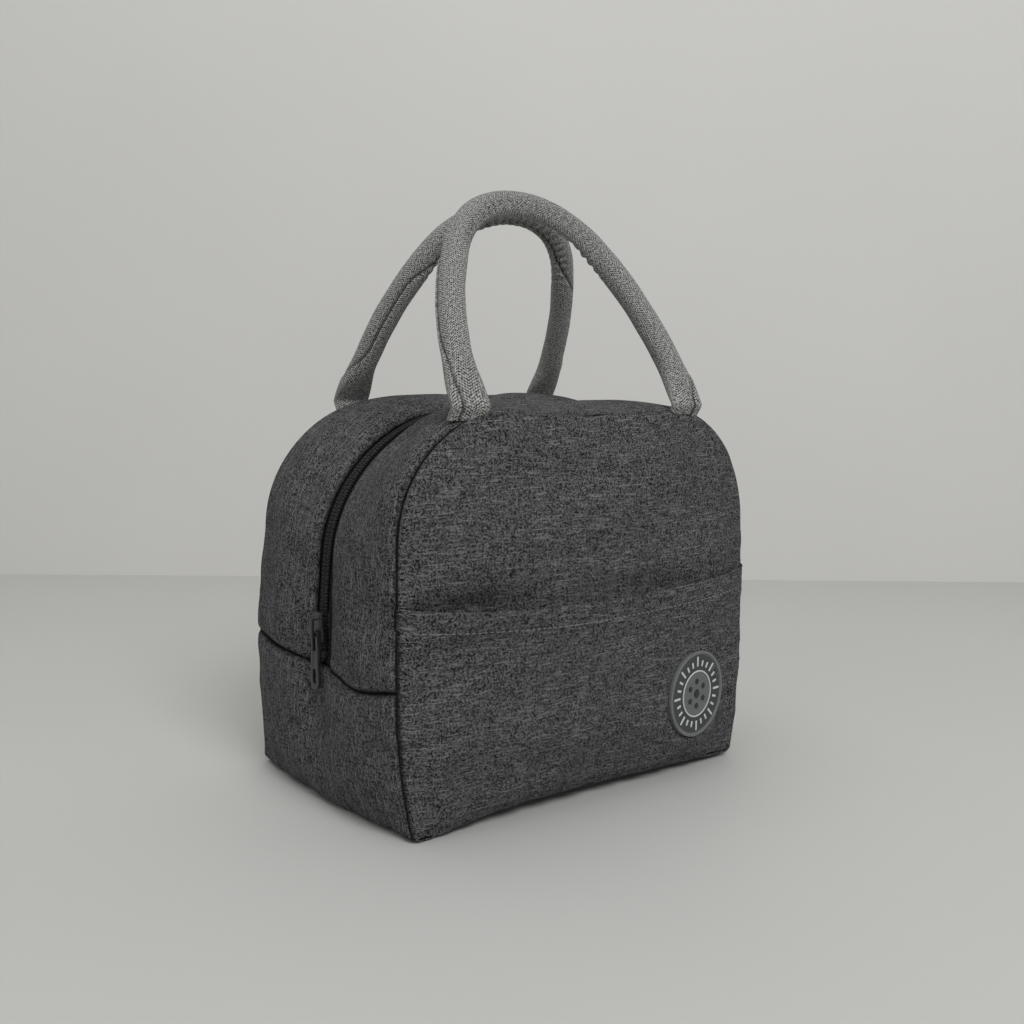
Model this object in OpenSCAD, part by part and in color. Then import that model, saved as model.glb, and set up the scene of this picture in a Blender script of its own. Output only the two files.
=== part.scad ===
// Soft insulated lunch bag: two D-shaped panels joined by a gusset that a zip divides.
// X runs along the front, -Y is the front, Z is up, and the origin is the middle of the base.

/* [Body] */
// Width of the front panel
body_w = 222; // [200:1:250]
// Depth from the front panel to the back panel
body_d = 145; // [120:1:170]
// Height of the top seam above the base
body_h = 195; // [180:1:220]
// Radius of the two top corners of the panels
top_corner_r = 58; // [54:1:62]
// Radius of the two bottom corners of the panels
base_corner_r = 12; // [9:1:16]
// Height of the side seam, where the zip ends and the walls fold
side_seam_h = 73; // [71:1:82]
// How far each padded panel swells out at its middle
panel_swell = 6; // [4:0.5:7]

/* [Layers] */
// Thickness of the outer fabric
shell_t = 0.8; // [0.6:0.1:1]
// Thickness of the foam insulation
foam_t = 4; // [3:0.5:5]
// Thickness of the foil lining
liner_t = 0.5; // [0.4:0.1:0.7]
// Height of the binding tape that covers the raw seams inside
binding_h = 6; // [4:0.5:7]
// Thickness of the binding tape
binding_t = 2; // [1.5:0.1:2.5]

/* [Pocket] */
// Height of the slip pocket's mouth above the base
pocket_h = 110; // [96:1:120]
// Depth of the room between the panel and the pocket, at its middle
pocket_room = 7; // [6:0.5:9]
// Drop of the pocket's mouth in its middle
lip_sag = 6; // [2:1:9]
// Height of the folded hem along the pocket's mouth
hem_h = 10; // [7:1:13]

/* [Badge] */
// Diameter of the moulded badge
badge_d = 46; // [38:1:48]
// Distance of the badge's middle from the right side seam
badge_edge = 44; // [37:1:61]
// Height of the badge's middle above the base
badge_z = 45; // [41:1:47]

/* [Zip] */
// Width of the zip that shows between the two gusset strips
zip_show = 15; // [14:0.5:18]
// Width of one row of coil
coil_w = 2.6; // [2.2:0.1:3]
// Thickness of the coil
coil_t = 2.2; // [1.8:0.1:2.4]
// Pitch of the coil's turns
coil_pitch = 3; // [2.5:0.1:4]
// Width of one zip tape, beside its row of coil
tape_w = 12; // [10:0.5:14]
// Thickness of the zip tape
tape_t = 0.6; // [0.5:0.1:0.8]
// Length of the slider
slider_l = 15; // [13:0.5:16]
// Height of the slider's lower end above the side seam
slider_lift = 8; // [7:0.5:12]
// Length of the pull tab below its crossbar
pull_l = 28; // [22:1:32]

/* [Handles] */
// Distance between the middles of a handle's two sewn ends
handle_span = 138; // [126:1:146]
// Rise of the handle, from its hinge line to the middle of the tube, along its own plane
handle_rise = 118; // [105:1:130]
// Diameter of the padded tube
handle_d = 15.5; // [13:0.5:17]
// Thickness of the webbing that covers the tube
webbing_t = 0.9; // [0.7:0.1:1.2]
// Radius of the crown of the handle's arch
handle_crown_r = 46; // [42:1:52]
// Lean of the handle towards the other one
handle_lean = 31; // [28:0.5:32]
// Distance that the back handle is sewn to the right of the middle
back_handle_shift = 13; // [0:1:15]
// Width of the flattened webbing where it is sewn in
tab_w = 24; // [20:1:26]
// Thickness of the flattened webbing where it is sewn in
tab_t = 2.6; // [2.2:0.1:3]

/* [Hidden] */

$fn = 96;
cloth = "#3f3f42";
foil = "#c9cdd0";
foam = "#e8e8e4";
black_tape = "#141415";
webbing = "#8f9090";
metal = "#2a2a2c";

// Room between one layer and the next, and across the fold of the walls
ply_gap = 0.1;
fold_gap = 0.3;
face_y = body_d / 2;
side_x = body_w / 2;

// Each panel is part of a large ball, which meets the box at its side seams
dome_r = (pow(side_x, 2) + pow(panel_swell, 2)) / (2 * panel_swell);
dome_top = face_y + panel_swell;
dome_y = dome_top - dome_r;
dome_z = body_h / 2;
dome_reach = side_x + body_h / 2;

// Depths of the layers below the outer surface
foam_out = shell_t + ply_gap;
foam_in = foam_out + foam_t;
liner_out = foam_in + ply_gap;
liner_in = liner_out + liner_t;
binding_out = liner_in + ply_gap;

// The zip, measured from the parting line at y = 0 and down from the outer surface
zip_half = zip_show / 2;
parting = 0.7;
coil_edge = parting + coil_w;
tape_edge = coil_edge + ply_gap;
tape_far = tape_edge + tape_w;
coil_out = 0.2;
coil_in = coil_out + coil_t;
tape_out = foam_out;
foam_edge = tape_far + 0.8;
coil_bead = 0.35 * coil_w;
coil_tooth = 0.55 * coil_pitch;

// The stops fill the last millimetres of the chain above the side seam
stop_h = 3;
chain_z0 = side_seam_h + fold_gap / 2 + stop_h + 2 * ply_gap;

// Arch of the handle: straight legs, two side arcs and a crown arc, all tangent
leg_l = 26;
arch_a = handle_span / 2;
arch_b = handle_rise - leg_l;
side_arc_r = (pow(arch_a, 2) + pow(arch_b - handle_crown_r, 2) - pow(handle_crown_r, 2))
    / (2 * (arch_a - handle_crown_r));
side_arc_a = atan2(arch_b - handle_crown_r, side_arc_r - arch_a);
tube_r = handle_d / 2;
core_r = tube_r - webbing_t - ply_gap;
fin_h = 2.4;
fin_t = 1.8;
flat_l = 12;
weld = 0.6;
weld_grow = 0.05;

// The handle turns just outside the seam that holds its stub
hinge_y = face_y + 0.7;
hinge_z = body_h + 3;
stub_t = 1.6;
stub_out = 0.6;

// Pocket, whose foot is cut level and whose sides stop just short of the side seams
pocket_y = face_y + ply_gap;
pocket_out = panel_swell + pocket_room + shell_t;
pocket_z0 = 2;
pocket_rise = 14;
pocket_foot = pocket_z0 + 2 * shell_t;
pocket_edge = 3;

// Its cloth bows in plan along one arc, and its mouth dips along another
bow_r = (pow(side_x, 2) + pow(pocket_out, 2)) / (2 * pocket_out);
bow_y = pocket_y + pocket_out - bow_r;
lip_r = (pow(side_x, 2) + pow(lip_sag, 2)) / (2 * lip_sag);
arc_fn = 720;
badge_x = side_x - badge_edge;

// Slider
slider_z0 = side_seam_h + slider_lift;
slider_w = 9.6;
slider_neck_w = 7.4;
plate_t = 1.5;
plate_clear = 0.3;
web_t = 0.8;
crown_t = 1.3;
crown_w = 2.4;
crown_room = 2.4;
crown_l = slider_l - 5;
crossbar_r = 0.8;
plate_x = side_x - coil_out + plate_clear + plate_t;
crossbar_x = plate_x + crossbar_r + 0.4;
crown_z0 = slider_z0 + 2.5;
crossbar_z = crown_z0 + crown_t + crossbar_r + fold_gap;
pull_w = 8.6;
pull_neck_w = 6.2;
pull_t = 1.4;
pull_window = crown_l - crown_t + 0.4;

// ---- helpers ----

// Outline of a panel, drawn in by inset from its edge; x across, y up
module outline(inset = 0) {
    for (side = [-1, 1]) {
        translate([side * (side_x - top_corner_r), body_h - top_corner_r])
            circle(top_corner_r - inset);
        translate([side * (side_x - base_corner_r), base_corner_r])
            circle(base_corner_r - inset);
    }
    top_flat = 2 * (side_x - top_corner_r);
    base_flat = 2 * (side_x - base_corner_r);
    translate([-top_flat / 2, base_corner_r])
        square([top_flat, body_h - inset - base_corner_r]);
    translate([-base_flat / 2, inset])
        square([base_flat, body_h - top_corner_r - inset]);
    translate([-side_x + inset, base_corner_r])
        square([body_w - 2 * inset, body_h - top_corner_r - base_corner_r]);
}

// Band of the outline between two depths
module rim(outer, inner) {
    difference() {
        outline(outer);
        outline(inner);
    }
}

module above(z) {
    intersection() {
        children();
        translate([-body_w, z])
            square([2 * body_w, 2 * body_h]);
    }
}

module below(z) {
    intersection() {
        children();
        translate([-body_w, z - 2 * body_h])
            square([2 * body_w, 2 * body_h]);
    }
}

module upper_part() above(side_seam_h + fold_gap / 2) children();
module lower_part() below(side_seam_h - fold_gap / 2) children();

// Extrudes a drawing in x and z from y0 to y1
module along_y(y0, y1) {
    translate([0, y1, 0])
        rotate([90, 0, 0])
            linear_extrude(y1 - y0)
                children();
}

// Everything is drawn once at the back, and mirrored to the front or turned round
module at_back() children();
module at_front() mirror([0, 1, 0]) children();
module turned() translate([back_handle_shift, 0, 0]) rotate([0, 0, 180]) at_front() children();

// ---- walls ----

// Round block that ends in the ball that a panel follows, at a depth below its surface
module dome(depth) {
    translate([0, dome_y, dome_z])
        rotate([-90, 0, 0])
            rotate_extrude()
                intersection() {
                    circle(dome_r - depth, $fn = arc_fn);
                    translate([0, dome_r - 2 * dome_top])
                        square([dome_reach, 2 * dome_top]);
                }
}

// A drawing extruded from y0 to a depth below the ball's surface
module to_dome(y0, depth) {
    intersection() {
        along_y(y0, dome_top)
            children();
        dome(depth);
    }
}

// A drawing's part between two depths below the ball's surface
module panel_layer(outer, inner) {
    difference() {
        to_dome(face_y / 2, outer)
            children();
        dome(inner);
    }
}

module panel_lower() color(cloth) panel_layer(0, shell_t) lower_part() outline();
module panel_upper() color(cloth) panel_layer(0, shell_t) upper_part() outline();

module foam_lower() color(foam) panel_layer(foam_out, foam_in) lower_part() outline(foam_out);
module foam_upper() color(foam) panel_layer(foam_out, foam_in) upper_part() outline(foam_out);

module liner_lower() color(foil) panel_layer(liner_out, liner_in) lower_part() outline(liner_out);
module liner_upper() color(foil) panel_layer(liner_out, liner_in) upper_part() outline(liner_out);

module binding_ring() {
    rim(binding_out, binding_out + binding_h);
}
module binding_lower() {
    color(black_tape)
        panel_layer(binding_out, binding_out + binding_t) lower_part() binding_ring();
}
module binding_upper() {
    color(black_tape)
        panel_layer(binding_out, binding_out + binding_t) upper_part() binding_ring();
}

// A drawing that runs from the front panel to the back panel
module both_domes(depth) {
    intersection() {
        to_dome(-dome_top, depth)
            children();
        mirror([0, 1, 0])
            dome(depth);
    }
}

module lower_gusset() color(cloth) both_domes(foam_out) lower_part() rim(0, shell_t);
module lower_gusset_foam() color(foam) both_domes(liner_out) lower_part() rim(foam_out, foam_in);
module lower_gusset_liner() color(foil) both_domes(binding_out) lower_part() rim(liner_out, liner_in);

// Strip of the gusset between a panel and the zip
module gusset() {
    color(cloth) to_dome(zip_half, foam_out) upper_part() rim(0, shell_t);
}
module gusset_foam() {
    color(foam) to_dome(foam_edge, liner_out) upper_part() rim(foam_out, foam_in);
}
// The lining turns up at its free edge and covers the end of the foam
module gusset_liner() {
    lip = foam_edge - ply_gap;
    color(foil) {
        to_dome(lip - liner_t, binding_out) upper_part() rim(liner_out, liner_in);
        along_y(lip - liner_t, lip) upper_part() rim(tape_out + tape_t + ply_gap, liner_in);
    }
}

// ---- zip ----

module zip_tape() {
    color(black_tape)
        along_y(tape_edge, tape_far) upper_part() rim(tape_out, tape_out + tape_t);
}

// Turns of the coil along one straight run of length run, starting at z = 0
module straight_teeth(run) {
    for (i = [0 : floor(run / coil_pitch) - 1])
        translate([0, i * coil_pitch])
            square([coil_t, coil_tooth]);
}

// Turns of the coil round one top corner
module corner_teeth() {
    r = top_corner_r - coil_out;
    count = floor(r * PI / 2 / coil_pitch);
    for (i = [0 : count - 1])
        rotate(90 * (i + 0.5) / count)
            translate([r - coil_t, -coil_tooth / 2])
                square([coil_t, coil_tooth]);
}

module teeth_drawing() {
    run = body_h - top_corner_r - chain_z0;
    for (side = [0, 1])
        mirror([side, 0]) {
            translate([side_x - coil_in, chain_z0])
                straight_teeth(run);
            translate([side_x - top_corner_r, body_h - top_corner_r])
                corner_teeth();
        }
    flat = body_w - 2 * top_corner_r;
    count = floor(flat / coil_pitch);
    for (i = [0 : count - 1])
        translate([flat * ((i + 0.5) / count - 0.5) - coil_tooth / 2, body_h - coil_in])
            square([coil_tooth, coil_t]);
}

// One row: a bead sewn along the tape, with a tooth at each turn
module zip_coil() {
    color(black_tape) {
        along_y(coil_edge - coil_bead, coil_edge) above(chain_z0) rim(coil_out, coil_in);
        along_y(parting, coil_edge - coil_bead / 2) teeth_drawing();
    }
}

module zip_top_stop() {
    color(metal)
        translate([-side_x + coil_out, parting, chain_z0 - stop_h - ply_gap])
            cube([coil_t, coil_w, stop_h]);
}

module zip_bottom_stop() {
    color(metal)
        translate([side_x - coil_in, -coil_edge, chain_z0 - stop_h - ply_gap])
            cube([coil_t, 2 * coil_edge, stop_h]);
}

// Face of a slider plate: y across, z up, wide at its lower end, where the rows part
module plate_drawing() {
    shoulder = 0.45 * slider_l;
    corner = 1.2;
    wide = slider_w / 2;
    neck = slider_neck_w / 2;
    for (side = [0, 1])
        mirror([side, 0])
            polygon([
                [0, 0], [wide - corner, 0], [wide, corner], [wide, shoulder - corner],
                [neck, shoulder + corner], [neck, slider_l], [0, slider_l]
            ]);
}

// A plate parallel to the side of the bag, from x0 outwards by t
module side_plate(x0, t) {
    translate([-x0, 0, slider_z0])
        rotate([90, 0, -90])
            linear_extrude(t)
                children();
}

module zip_slider() {
    color(metal) {
        side_plate(plate_x - plate_t, plate_t) plate_drawing();
        side_plate(side_x - coil_in - plate_clear - plate_t, plate_t) plate_drawing();
        translate([-plate_x + plate_t / 2, -web_t / 2, slider_z0])
            cube([plate_t + coil_t + 2 * plate_clear, web_t, slider_l / 2]);
        crown();
    }
}

// Arch on the outer plate that holds the pull
module crown() {
    out = crown_room + crown_t;
    difference() {
        translate([-plate_x - out, -crown_w / 2, crown_z0])
            cube([out + plate_t / 2, crown_w, crown_l]);
        translate([-plate_x - crown_room, -crown_w, crown_z0 + crown_t])
            cube([crown_room, 2 * crown_w, crown_l - 2 * crown_t]);
    }
}

// Face of the pull: y across, z down from the crossbar
module pull_drawing() {
    end_r = pull_w / 2;
    difference() {
        union() {
            translate([0, -pull_l + end_r])
                circle(end_r);
            polygon([
                [-pull_neck_w / 2, 0], [pull_neck_w / 2, 0],
                [end_r, -pull_l + end_r], [-end_r, -pull_l + end_r]
            ]);
        }
        window_w = crown_w + 0.8;
        translate([-window_w / 2, -pull_window])
            square([window_w, pull_window + 1]);
        translate([0, -pull_l + end_r])
            circle(1.9);
        translate([-1.9, -pull_l + end_r])
            square([3.8, 4]);
        translate([0, -pull_l + end_r + 4])
            circle(1.9);
    }
}

module zip_pull() {
    color(metal) {
        translate([-crossbar_x + pull_t / 2, 0, crossbar_z])
            rotate([90, 0, -90])
                linear_extrude(pull_t)
                    pull_drawing();
        translate([-crossbar_x, pull_neck_w / 2, crossbar_z])
            rotate([90, 0, 0])
                cylinder(r = crossbar_r, h = pull_neck_w);
    }
}

// ---- pocket ----

// Plan of the pocket, drawn in by inset from its outer face
module pocket_plan(inset) {
    intersection() {
        translate([0, bow_y])
            circle(bow_r - inset, $fn = arc_fn);
        translate([pocket_edge - side_x, 0])
            square([body_w - 2 * pocket_edge, 2 * pocket_y]);
    }
}

// Front face of the pocket from its foot to its mouth; drop lowers the mouth
module pocket_face(drop) {
    difference() {
        intersection() {
            outline();
            translate([-side_x, pocket_foot])
                square([body_w, pocket_h - drop - pocket_foot]);
        }
        translate([0, pocket_h - drop - lip_sag + lip_r])
            circle(lip_r, $fn = arc_fn);
    }
}

// Room under the pocket's cloth, with a slope that tucks it in at the foot
module pocket_form(inset) {
    foot = pocket_z0 + inset;
    reach = pocket_y + pocket_out;
    intersection() {
        linear_extrude(body_h)
            pocket_plan(inset);
        translate([-side_x, 0, 0])
            rotate([90, 0, 90])
                linear_extrude(body_w)
                    polygon([
                        [0, foot], [pocket_y + fold_gap, foot],
                        [reach - inset, foot + pocket_rise], [reach + 1, foot + pocket_rise],
                        [reach + 1, body_h], [0, body_h]
                    ]);
    }
}

// One ply of the pocket between two insets, down from the mouth by drop, against the panel
module pocket_ply(outer, inner, drop) {
    difference() {
        intersection() {
            pocket_form(outer);
            along_y(face_y / 2, pocket_y + 2 * pocket_out) pocket_face(drop);
        }
        pocket_form(inner);
        dome(-ply_gap);
    }
}

module pocket_cloth() {
    pocket_ply(0, shell_t, 0);
    difference() {
        pocket_ply(shell_t / 2, 2 * shell_t, 0);
        along_y(pocket_y - 1, pocket_y + 2 * pocket_out) pocket_face(hem_h);
    }
}

module slab(z0, z1) {
    translate([-body_w, pocket_y - 1, z0])
        cube([2 * body_w, 2 * pocket_out, z1 - z0]);
}

module pocket_lower() {
    color(cloth)
        at_front()
            intersection() {
                pocket_cloth();
                slab(-1, side_seam_h - fold_gap / 2);
            }
}

module pocket_upper() {
    color(cloth)
        at_front()
            intersection() {
                pocket_cloth();
                slab(side_seam_h + fold_gap / 2, pocket_h + 1);
            }
}

// ---- badge ----

badge_t = 1.6;
badge_rim_t = 0.6;
badge_rim_w = 1.6;
badge_ring_r = 12.6;
badge_ring_w = 0.8;
inlay_t = 0.35;

// A drawing on the badge, which lies flat against the bow of the pocket
module on_badge(depth, t) {
    at_front()
        translate([0, bow_y, badge_z])
            rotate([0, 0, -asin(badge_x / bow_r)])
                translate([0, bow_r + ply_gap + depth, 0])
                    rotate([-90, 0, 0])
                        linear_extrude(t)
                            children();
}

module badge_disc() {
    color("#6d7272") {
        on_badge(0, badge_t) circle(badge_d / 2);
        on_badge(badge_t / 2, badge_t / 2 + badge_rim_t)
            difference() {
                circle(badge_d / 2);
                circle(badge_d / 2 - badge_rim_w);
            }
    }
}

// Raised ring and a band of plain ticks
module badge_inlay() {
    ticks = 24;
    tick_r0 = badge_ring_r + 2.2;
    tick_l = badge_d / 2 - badge_rim_w - tick_r0 - 1.4;
    color("white")
        on_badge(badge_t, inlay_t) {
            difference() {
                circle(badge_ring_r);
                circle(badge_ring_r - badge_ring_w);
            }
            for (i = [0 : ticks - 1])
                rotate(360 * i / ticks)
                    translate([tick_r0, -0.6])
                        square([i % 3 == 0 ? tick_l : tick_l * 0.6, 1.2]);
        }
}

module badge_dots() {
    color("#1a1a1a")
        on_badge(badge_t, inlay_t) {
            circle(2.3);
            for (i = [0 : 5])
                rotate(60 * i + 30)
                    translate([6.6, 0])
                        circle(1.5);
        }
}

// ---- handles ----

// Outline of the webbing round its core, with the sewn edges standing out as a fin
module webbing_section(grow = 0) {
    circle(tube_r + grow);
    translate([-fin_t / 2 - grow, 0])
        square([fin_t + 2 * grow, tube_r + fin_h + grow]);
}

// Short straight length at an angle round an arc, which welds two arcs together
module weld_at(r, angle) {
    rotate([0, 0, angle])
        translate([r, 0, 0])
            rotate([90, 0, 0])
                linear_extrude(2 * weld, center = true)
                    children();
}

// Sweeps the first child along the arch and welds its arcs with the second; the
// sections' y faces the middle of the bag, and start trims the lower ends
module arch(start, weld_feet) {
    translate([0, 0, leg_l])
        rotate([90, 0, 0])
            mirror([0, 0, 1]) {
                for (side = [0, 1])
                    mirror([side, 0, 0])
                        translate([arch_a - side_arc_r, 0, 0]) {
                            rotate([0, 0, start])
                                rotate_extrude(angle = side_arc_a - start, $fn = 180)
                                    translate([side_arc_r, 0])
                                        children(0);
                            weld_at(side_arc_r, side_arc_a)
                                children(1);
                            if (weld_feet)
                                weld_at(side_arc_r, 0)
                                    children(1);
                        }
                translate([0, arch_b - handle_crown_r, 0])
                    rotate([0, 0, side_arc_a])
                        rotate_extrude(angle = 180 - 2 * side_arc_a, $fn = 180)
                            translate([handle_crown_r, 0])
                                children(0);
            }
}

module lean() {
    translate([0, hinge_y, hinge_z])
        rotate([handle_lean, 0, 0])
            mirror([0, 1, 0])
                children();
}

// Flattened end: the webbing spreads from the tube into a flat tab
module handle_end() {
    intersection() {
        rotate_extrude()
            polygon([
                [0, 0], [tab_w / 2, 0], [tab_w / 2, flat_l], [tube_r, leg_l], [0, leg_l]
            ]);
        rotate([90, 0, 90])
            linear_extrude(tab_w + 2, center = true)
                polygon([
                    [-tab_t / 2, -1], [tab_t / 2, -1], [tab_t / 2, flat_l],
                    [tube_r + 0.2, leg_l + 0.1], [-tube_r - 0.2, leg_l + 0.1],
                    [-tab_t / 2, flat_l]
                ]);
    }
    translate([-tab_w / 2, 0, 0])
        rotate([0, 90, 0])
            cylinder(d = tab_t, h = tab_w);
}

module handle_cover() {
    bore_r = core_r + ply_gap;
    color(webbing)
        lean()
            difference() {
                union() {
                    arch(0, true) {
                        webbing_section();
                        webbing_section(weld_grow);
                    }
                    for (side = [-1, 1])
                        translate([side * arch_a, 0, 0])
                            handle_end();
                }
                arch(0.3, false) {
                    circle(bore_r);
                    circle(bore_r + weld_grow / 2);
                }
            }
}

module handle_core() {
    color("white")
        lean()
            arch(0.5, false) {
                circle(core_r);
                circle(core_r + weld_grow / 2);
            }
}

// Stubs of webbing that stay in the seam, below the line where the handle swings
module handle_tabs(shift = 0) {
    stub_top = hinge_z - tab_t / 2 - fold_gap;
    corner_z = body_h - top_corner_r;
    color(webbing)
        along_y(face_y - stub_out - stub_t, face_y - stub_out)
            difference() {
                for (side = [-1, 1])
                    translate([shift + side * arch_a - tab_w / 2, corner_z])
                        square([tab_w, stub_top - corner_z]);
                outline(-ply_gap);
            }
}

lower_gusset();
lower_gusset_foam();
lower_gusset_liner();
at_front() panel_lower();  // front_panel_lower
at_front() foam_lower();  // front_foam_lower
at_front() liner_lower();  // front_liner_lower
at_front() binding_lower();  // front_binding_lower
at_back() panel_lower();  // back_panel_lower
at_back() foam_lower();  // back_foam_lower
at_back() liner_lower();  // back_liner_lower
at_back() binding_lower();  // back_binding_lower
pocket_lower();
badge_disc();
badge_inlay();
badge_dots();
zip_bottom_stop();
at_front() panel_upper();  // front_panel_upper
at_front() foam_upper();  // front_foam_upper
at_front() liner_upper();  // front_liner_upper
at_front() binding_upper();  // front_binding_upper
at_front() gusset();  // front_gusset
at_front() gusset_foam();  // front_gusset_foam
at_front() gusset_liner();  // front_gusset_liner
at_front() zip_tape();  // front_zip_tape
at_front() zip_coil();  // front_zip_coil
at_front() zip_top_stop();  // front_zip_top_stop
pocket_upper();
at_front() handle_tabs();  // front_handle_tabs
at_back() panel_upper();  // back_panel_upper
at_back() foam_upper();  // back_foam_upper
at_back() liner_upper();  // back_liner_upper
at_back() binding_upper();  // back_binding_upper
at_back() gusset();  // back_gusset
at_back() gusset_foam();  // back_gusset_foam
at_back() gusset_liner();  // back_gusset_liner
at_back() zip_tape();  // back_zip_tape
at_back() zip_coil();  // back_zip_coil
at_back() zip_top_stop();  // back_zip_top_stop
at_back() handle_tabs(back_handle_shift);  // back_handle_tabs
at_front() handle_cover();  // front_handle_cover
at_front() handle_core();  // front_handle_core
turned() handle_cover();  // back_handle_cover
turned() handle_core();  // back_handle_core
zip_slider();
zip_pull();
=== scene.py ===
"""A soft insulated lunch bag: padded cloth panels, a zipped gusset, a slip pocket,
a rubber badge and two rope handles, dressed round its construction model."""
import math

import bmesh
import bpy
import numpy as np
from mathutils import Matrix, Vector, kdtree, noise


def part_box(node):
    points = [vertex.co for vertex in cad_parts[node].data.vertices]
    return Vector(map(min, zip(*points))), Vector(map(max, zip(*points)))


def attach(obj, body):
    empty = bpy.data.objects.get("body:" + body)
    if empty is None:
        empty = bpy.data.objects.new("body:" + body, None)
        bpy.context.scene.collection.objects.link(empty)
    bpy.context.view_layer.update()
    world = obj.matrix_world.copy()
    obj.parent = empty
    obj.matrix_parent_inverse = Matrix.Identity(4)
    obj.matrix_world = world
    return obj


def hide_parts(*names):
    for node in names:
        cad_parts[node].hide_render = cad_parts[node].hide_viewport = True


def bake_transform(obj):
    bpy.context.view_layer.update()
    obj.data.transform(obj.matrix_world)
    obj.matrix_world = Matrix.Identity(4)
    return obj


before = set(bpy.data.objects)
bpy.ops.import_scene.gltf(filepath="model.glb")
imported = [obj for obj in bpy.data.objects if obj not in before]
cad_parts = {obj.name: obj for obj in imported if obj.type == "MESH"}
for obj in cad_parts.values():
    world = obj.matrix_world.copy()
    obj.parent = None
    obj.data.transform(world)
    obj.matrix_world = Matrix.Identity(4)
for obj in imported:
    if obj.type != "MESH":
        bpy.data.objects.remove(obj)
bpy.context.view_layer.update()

# ---------------------------------------------------------------- camera and room
# A pale table and a pale wall, lit softly from high in front, with the camera a
# little above the bag and turned so that the front and the zip's side both show.

CAMERA_PLACE = Vector((-0.3477, -0.4745, 0.2063))
CAMERA_TURN = math.radians(36.68)
CAMERA_DIP = math.radians(6.59)
CAMERA_ROLL = math.radians(0.46)
IMAGE_WIDTH = 1024
FOCAL_PIXELS = 1084
SENSOR = 36.0
ROOM_SIZE = 6
WALL_DISTANCE = 1.16
TABLE_GREY = (0.580, 0.577, 0.555)
WALL_GREY = (0.735, 0.725, 0.693)

ahead = Vector((math.sin(CAMERA_TURN), math.cos(CAMERA_TURN), 0))
look = ahead * math.cos(CAMERA_DIP) - Vector((0, 0, math.sin(CAMERA_DIP)))
level = look.cross(Vector((0, 0, 1))).normalized()
upward = level.cross(look)
right = level * math.cos(CAMERA_ROLL) + upward * math.sin(CAMERA_ROLL)
top = right.cross(look)

bpy.ops.object.camera_add()
camera = bpy.context.object
camera.matrix_world = (
    Matrix.Translation(CAMERA_PLACE) @ Matrix((right, top, -look)).transposed().to_4x4()
)
camera.data.sensor_width = SENSOR
camera.data.lens = SENSOR * FOCAL_PIXELS / IMAGE_WIDTH
camera.data.clip_start = 0.01
bpy.context.scene.camera = camera


def fill_sockets(tree, node, sockets):
    """Sets each socket of a node to a value, or links another node's output to it."""
    for key, value in sockets.items():
        if isinstance(value, bpy.types.NodeSocket):
            tree.links.new(value, node.inputs[key])
        else:
            node.inputs[key].default_value = value


def add_node(tree, kind, sockets=None, **settings):
    """Adds one shader node, set up and with its sockets filled."""
    node = tree.nodes.new("ShaderNode" + kind)
    for key, value in settings.items():
        setattr(node, key, value)
    fill_sockets(tree, node, sockets or {})
    return node


def between(tree, factor, first, second, **settings):
    """The colour between two colours, by a factor."""
    sockets = {"Factor": factor, "A": first, "B": second}
    return add_node(tree, "Mix", sockets, data_type="RGBA", **settings).outputs["Result"]


def bumped(tree, height, strength, distance):
    """The normals of a surface whose grain stands up by a height."""
    sockets = {"Strength": strength, "Distance": distance, "Height": height}
    return add_node(tree, "Bump", sockets).outputs["Normal"]


def new_material(name, sockets=None):
    """A new material, its node tree and its shader."""
    material = bpy.data.materials.new(name)
    material.use_nodes = True
    tree = material.node_tree
    shader = tree.nodes["Principled BSDF"]
    fill_sockets(tree, shader, sockets or {})
    return material, tree, shader


def mottled_material(name, dark, light, roughness, scale, detail=2, grain=0):
    """A painted, dyed or moulded surface, mottled between two colours."""
    material, tree, shader = new_material(name)
    place = add_node(tree, "TexCoord").outputs["Object"]
    sockets = {"Vector": place, "Scale": scale, "Detail": detail}
    speck = add_node(tree, "TexNoise", sockets).outputs["Fac"]
    sockets = {"Base Color": between(tree, speck, (*dark, 1), (*light, 1)), "Roughness": roughness}
    if grain:
        swing = {"Value": speck, "To Min": roughness - 0.08, "To Max": roughness + 0.08}
        sockets["Roughness"] = add_node(tree, "MapRange", swing).outputs["Result"]
        sockets["Normal"] = bumped(tree, speck, 0.35, grain)
    fill_sockets(tree, shader, sockets)
    return material


def two_tones(colour, low, high):
    """A colour made darker and lighter by two factors."""
    return tuple(c * low for c in colour), tuple(c * high for c in colour)


bpy.ops.mesh.primitive_plane_add(size=ROOM_SIZE)
table = bpy.context.object
table.name = "table"
table.data.materials.append(
    mottled_material("table_paint", *two_tones(TABLE_GREY, 0.96, 1.03), roughness=0.6, scale=3)
)
bpy.ops.mesh.primitive_plane_add(size=ROOM_SIZE, rotation=(math.pi / 2, 0, -CAMERA_TURN))
wall = bpy.context.object
wall.name = "wall"
wall.location = ahead * WALL_DISTANCE + Vector((CAMERA_PLACE.x, CAMERA_PLACE.y, 0))
wall.data.materials.append(
    mottled_material("wall_paint", *two_tones(WALL_GREY, 0.96, 1.03), roughness=0.8, scale=3)
)

for name, place, target, size, power in (
    ("key", (-0.25, -1.35, 1.4), (0, 0, 0.12), 0.8, 17),
    ("fill", (-1.6, -0.2, 1.1), (0, 0, 0.15), 1.2, 2),
    ("overhead", (-0.35, 0.2, 1.9), (0, 0.1, 0), 1.2, 6),
):
    bpy.ops.object.light_add(type="AREA", location=place)
    lamp = bpy.context.object
    lamp.name = name
    lamp.data.size = size
    lamp.data.energy = power
    lamp.rotation_euler = (Vector(target) - Vector(place)).to_track_quat("-Z", "Y").to_euler()

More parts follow.
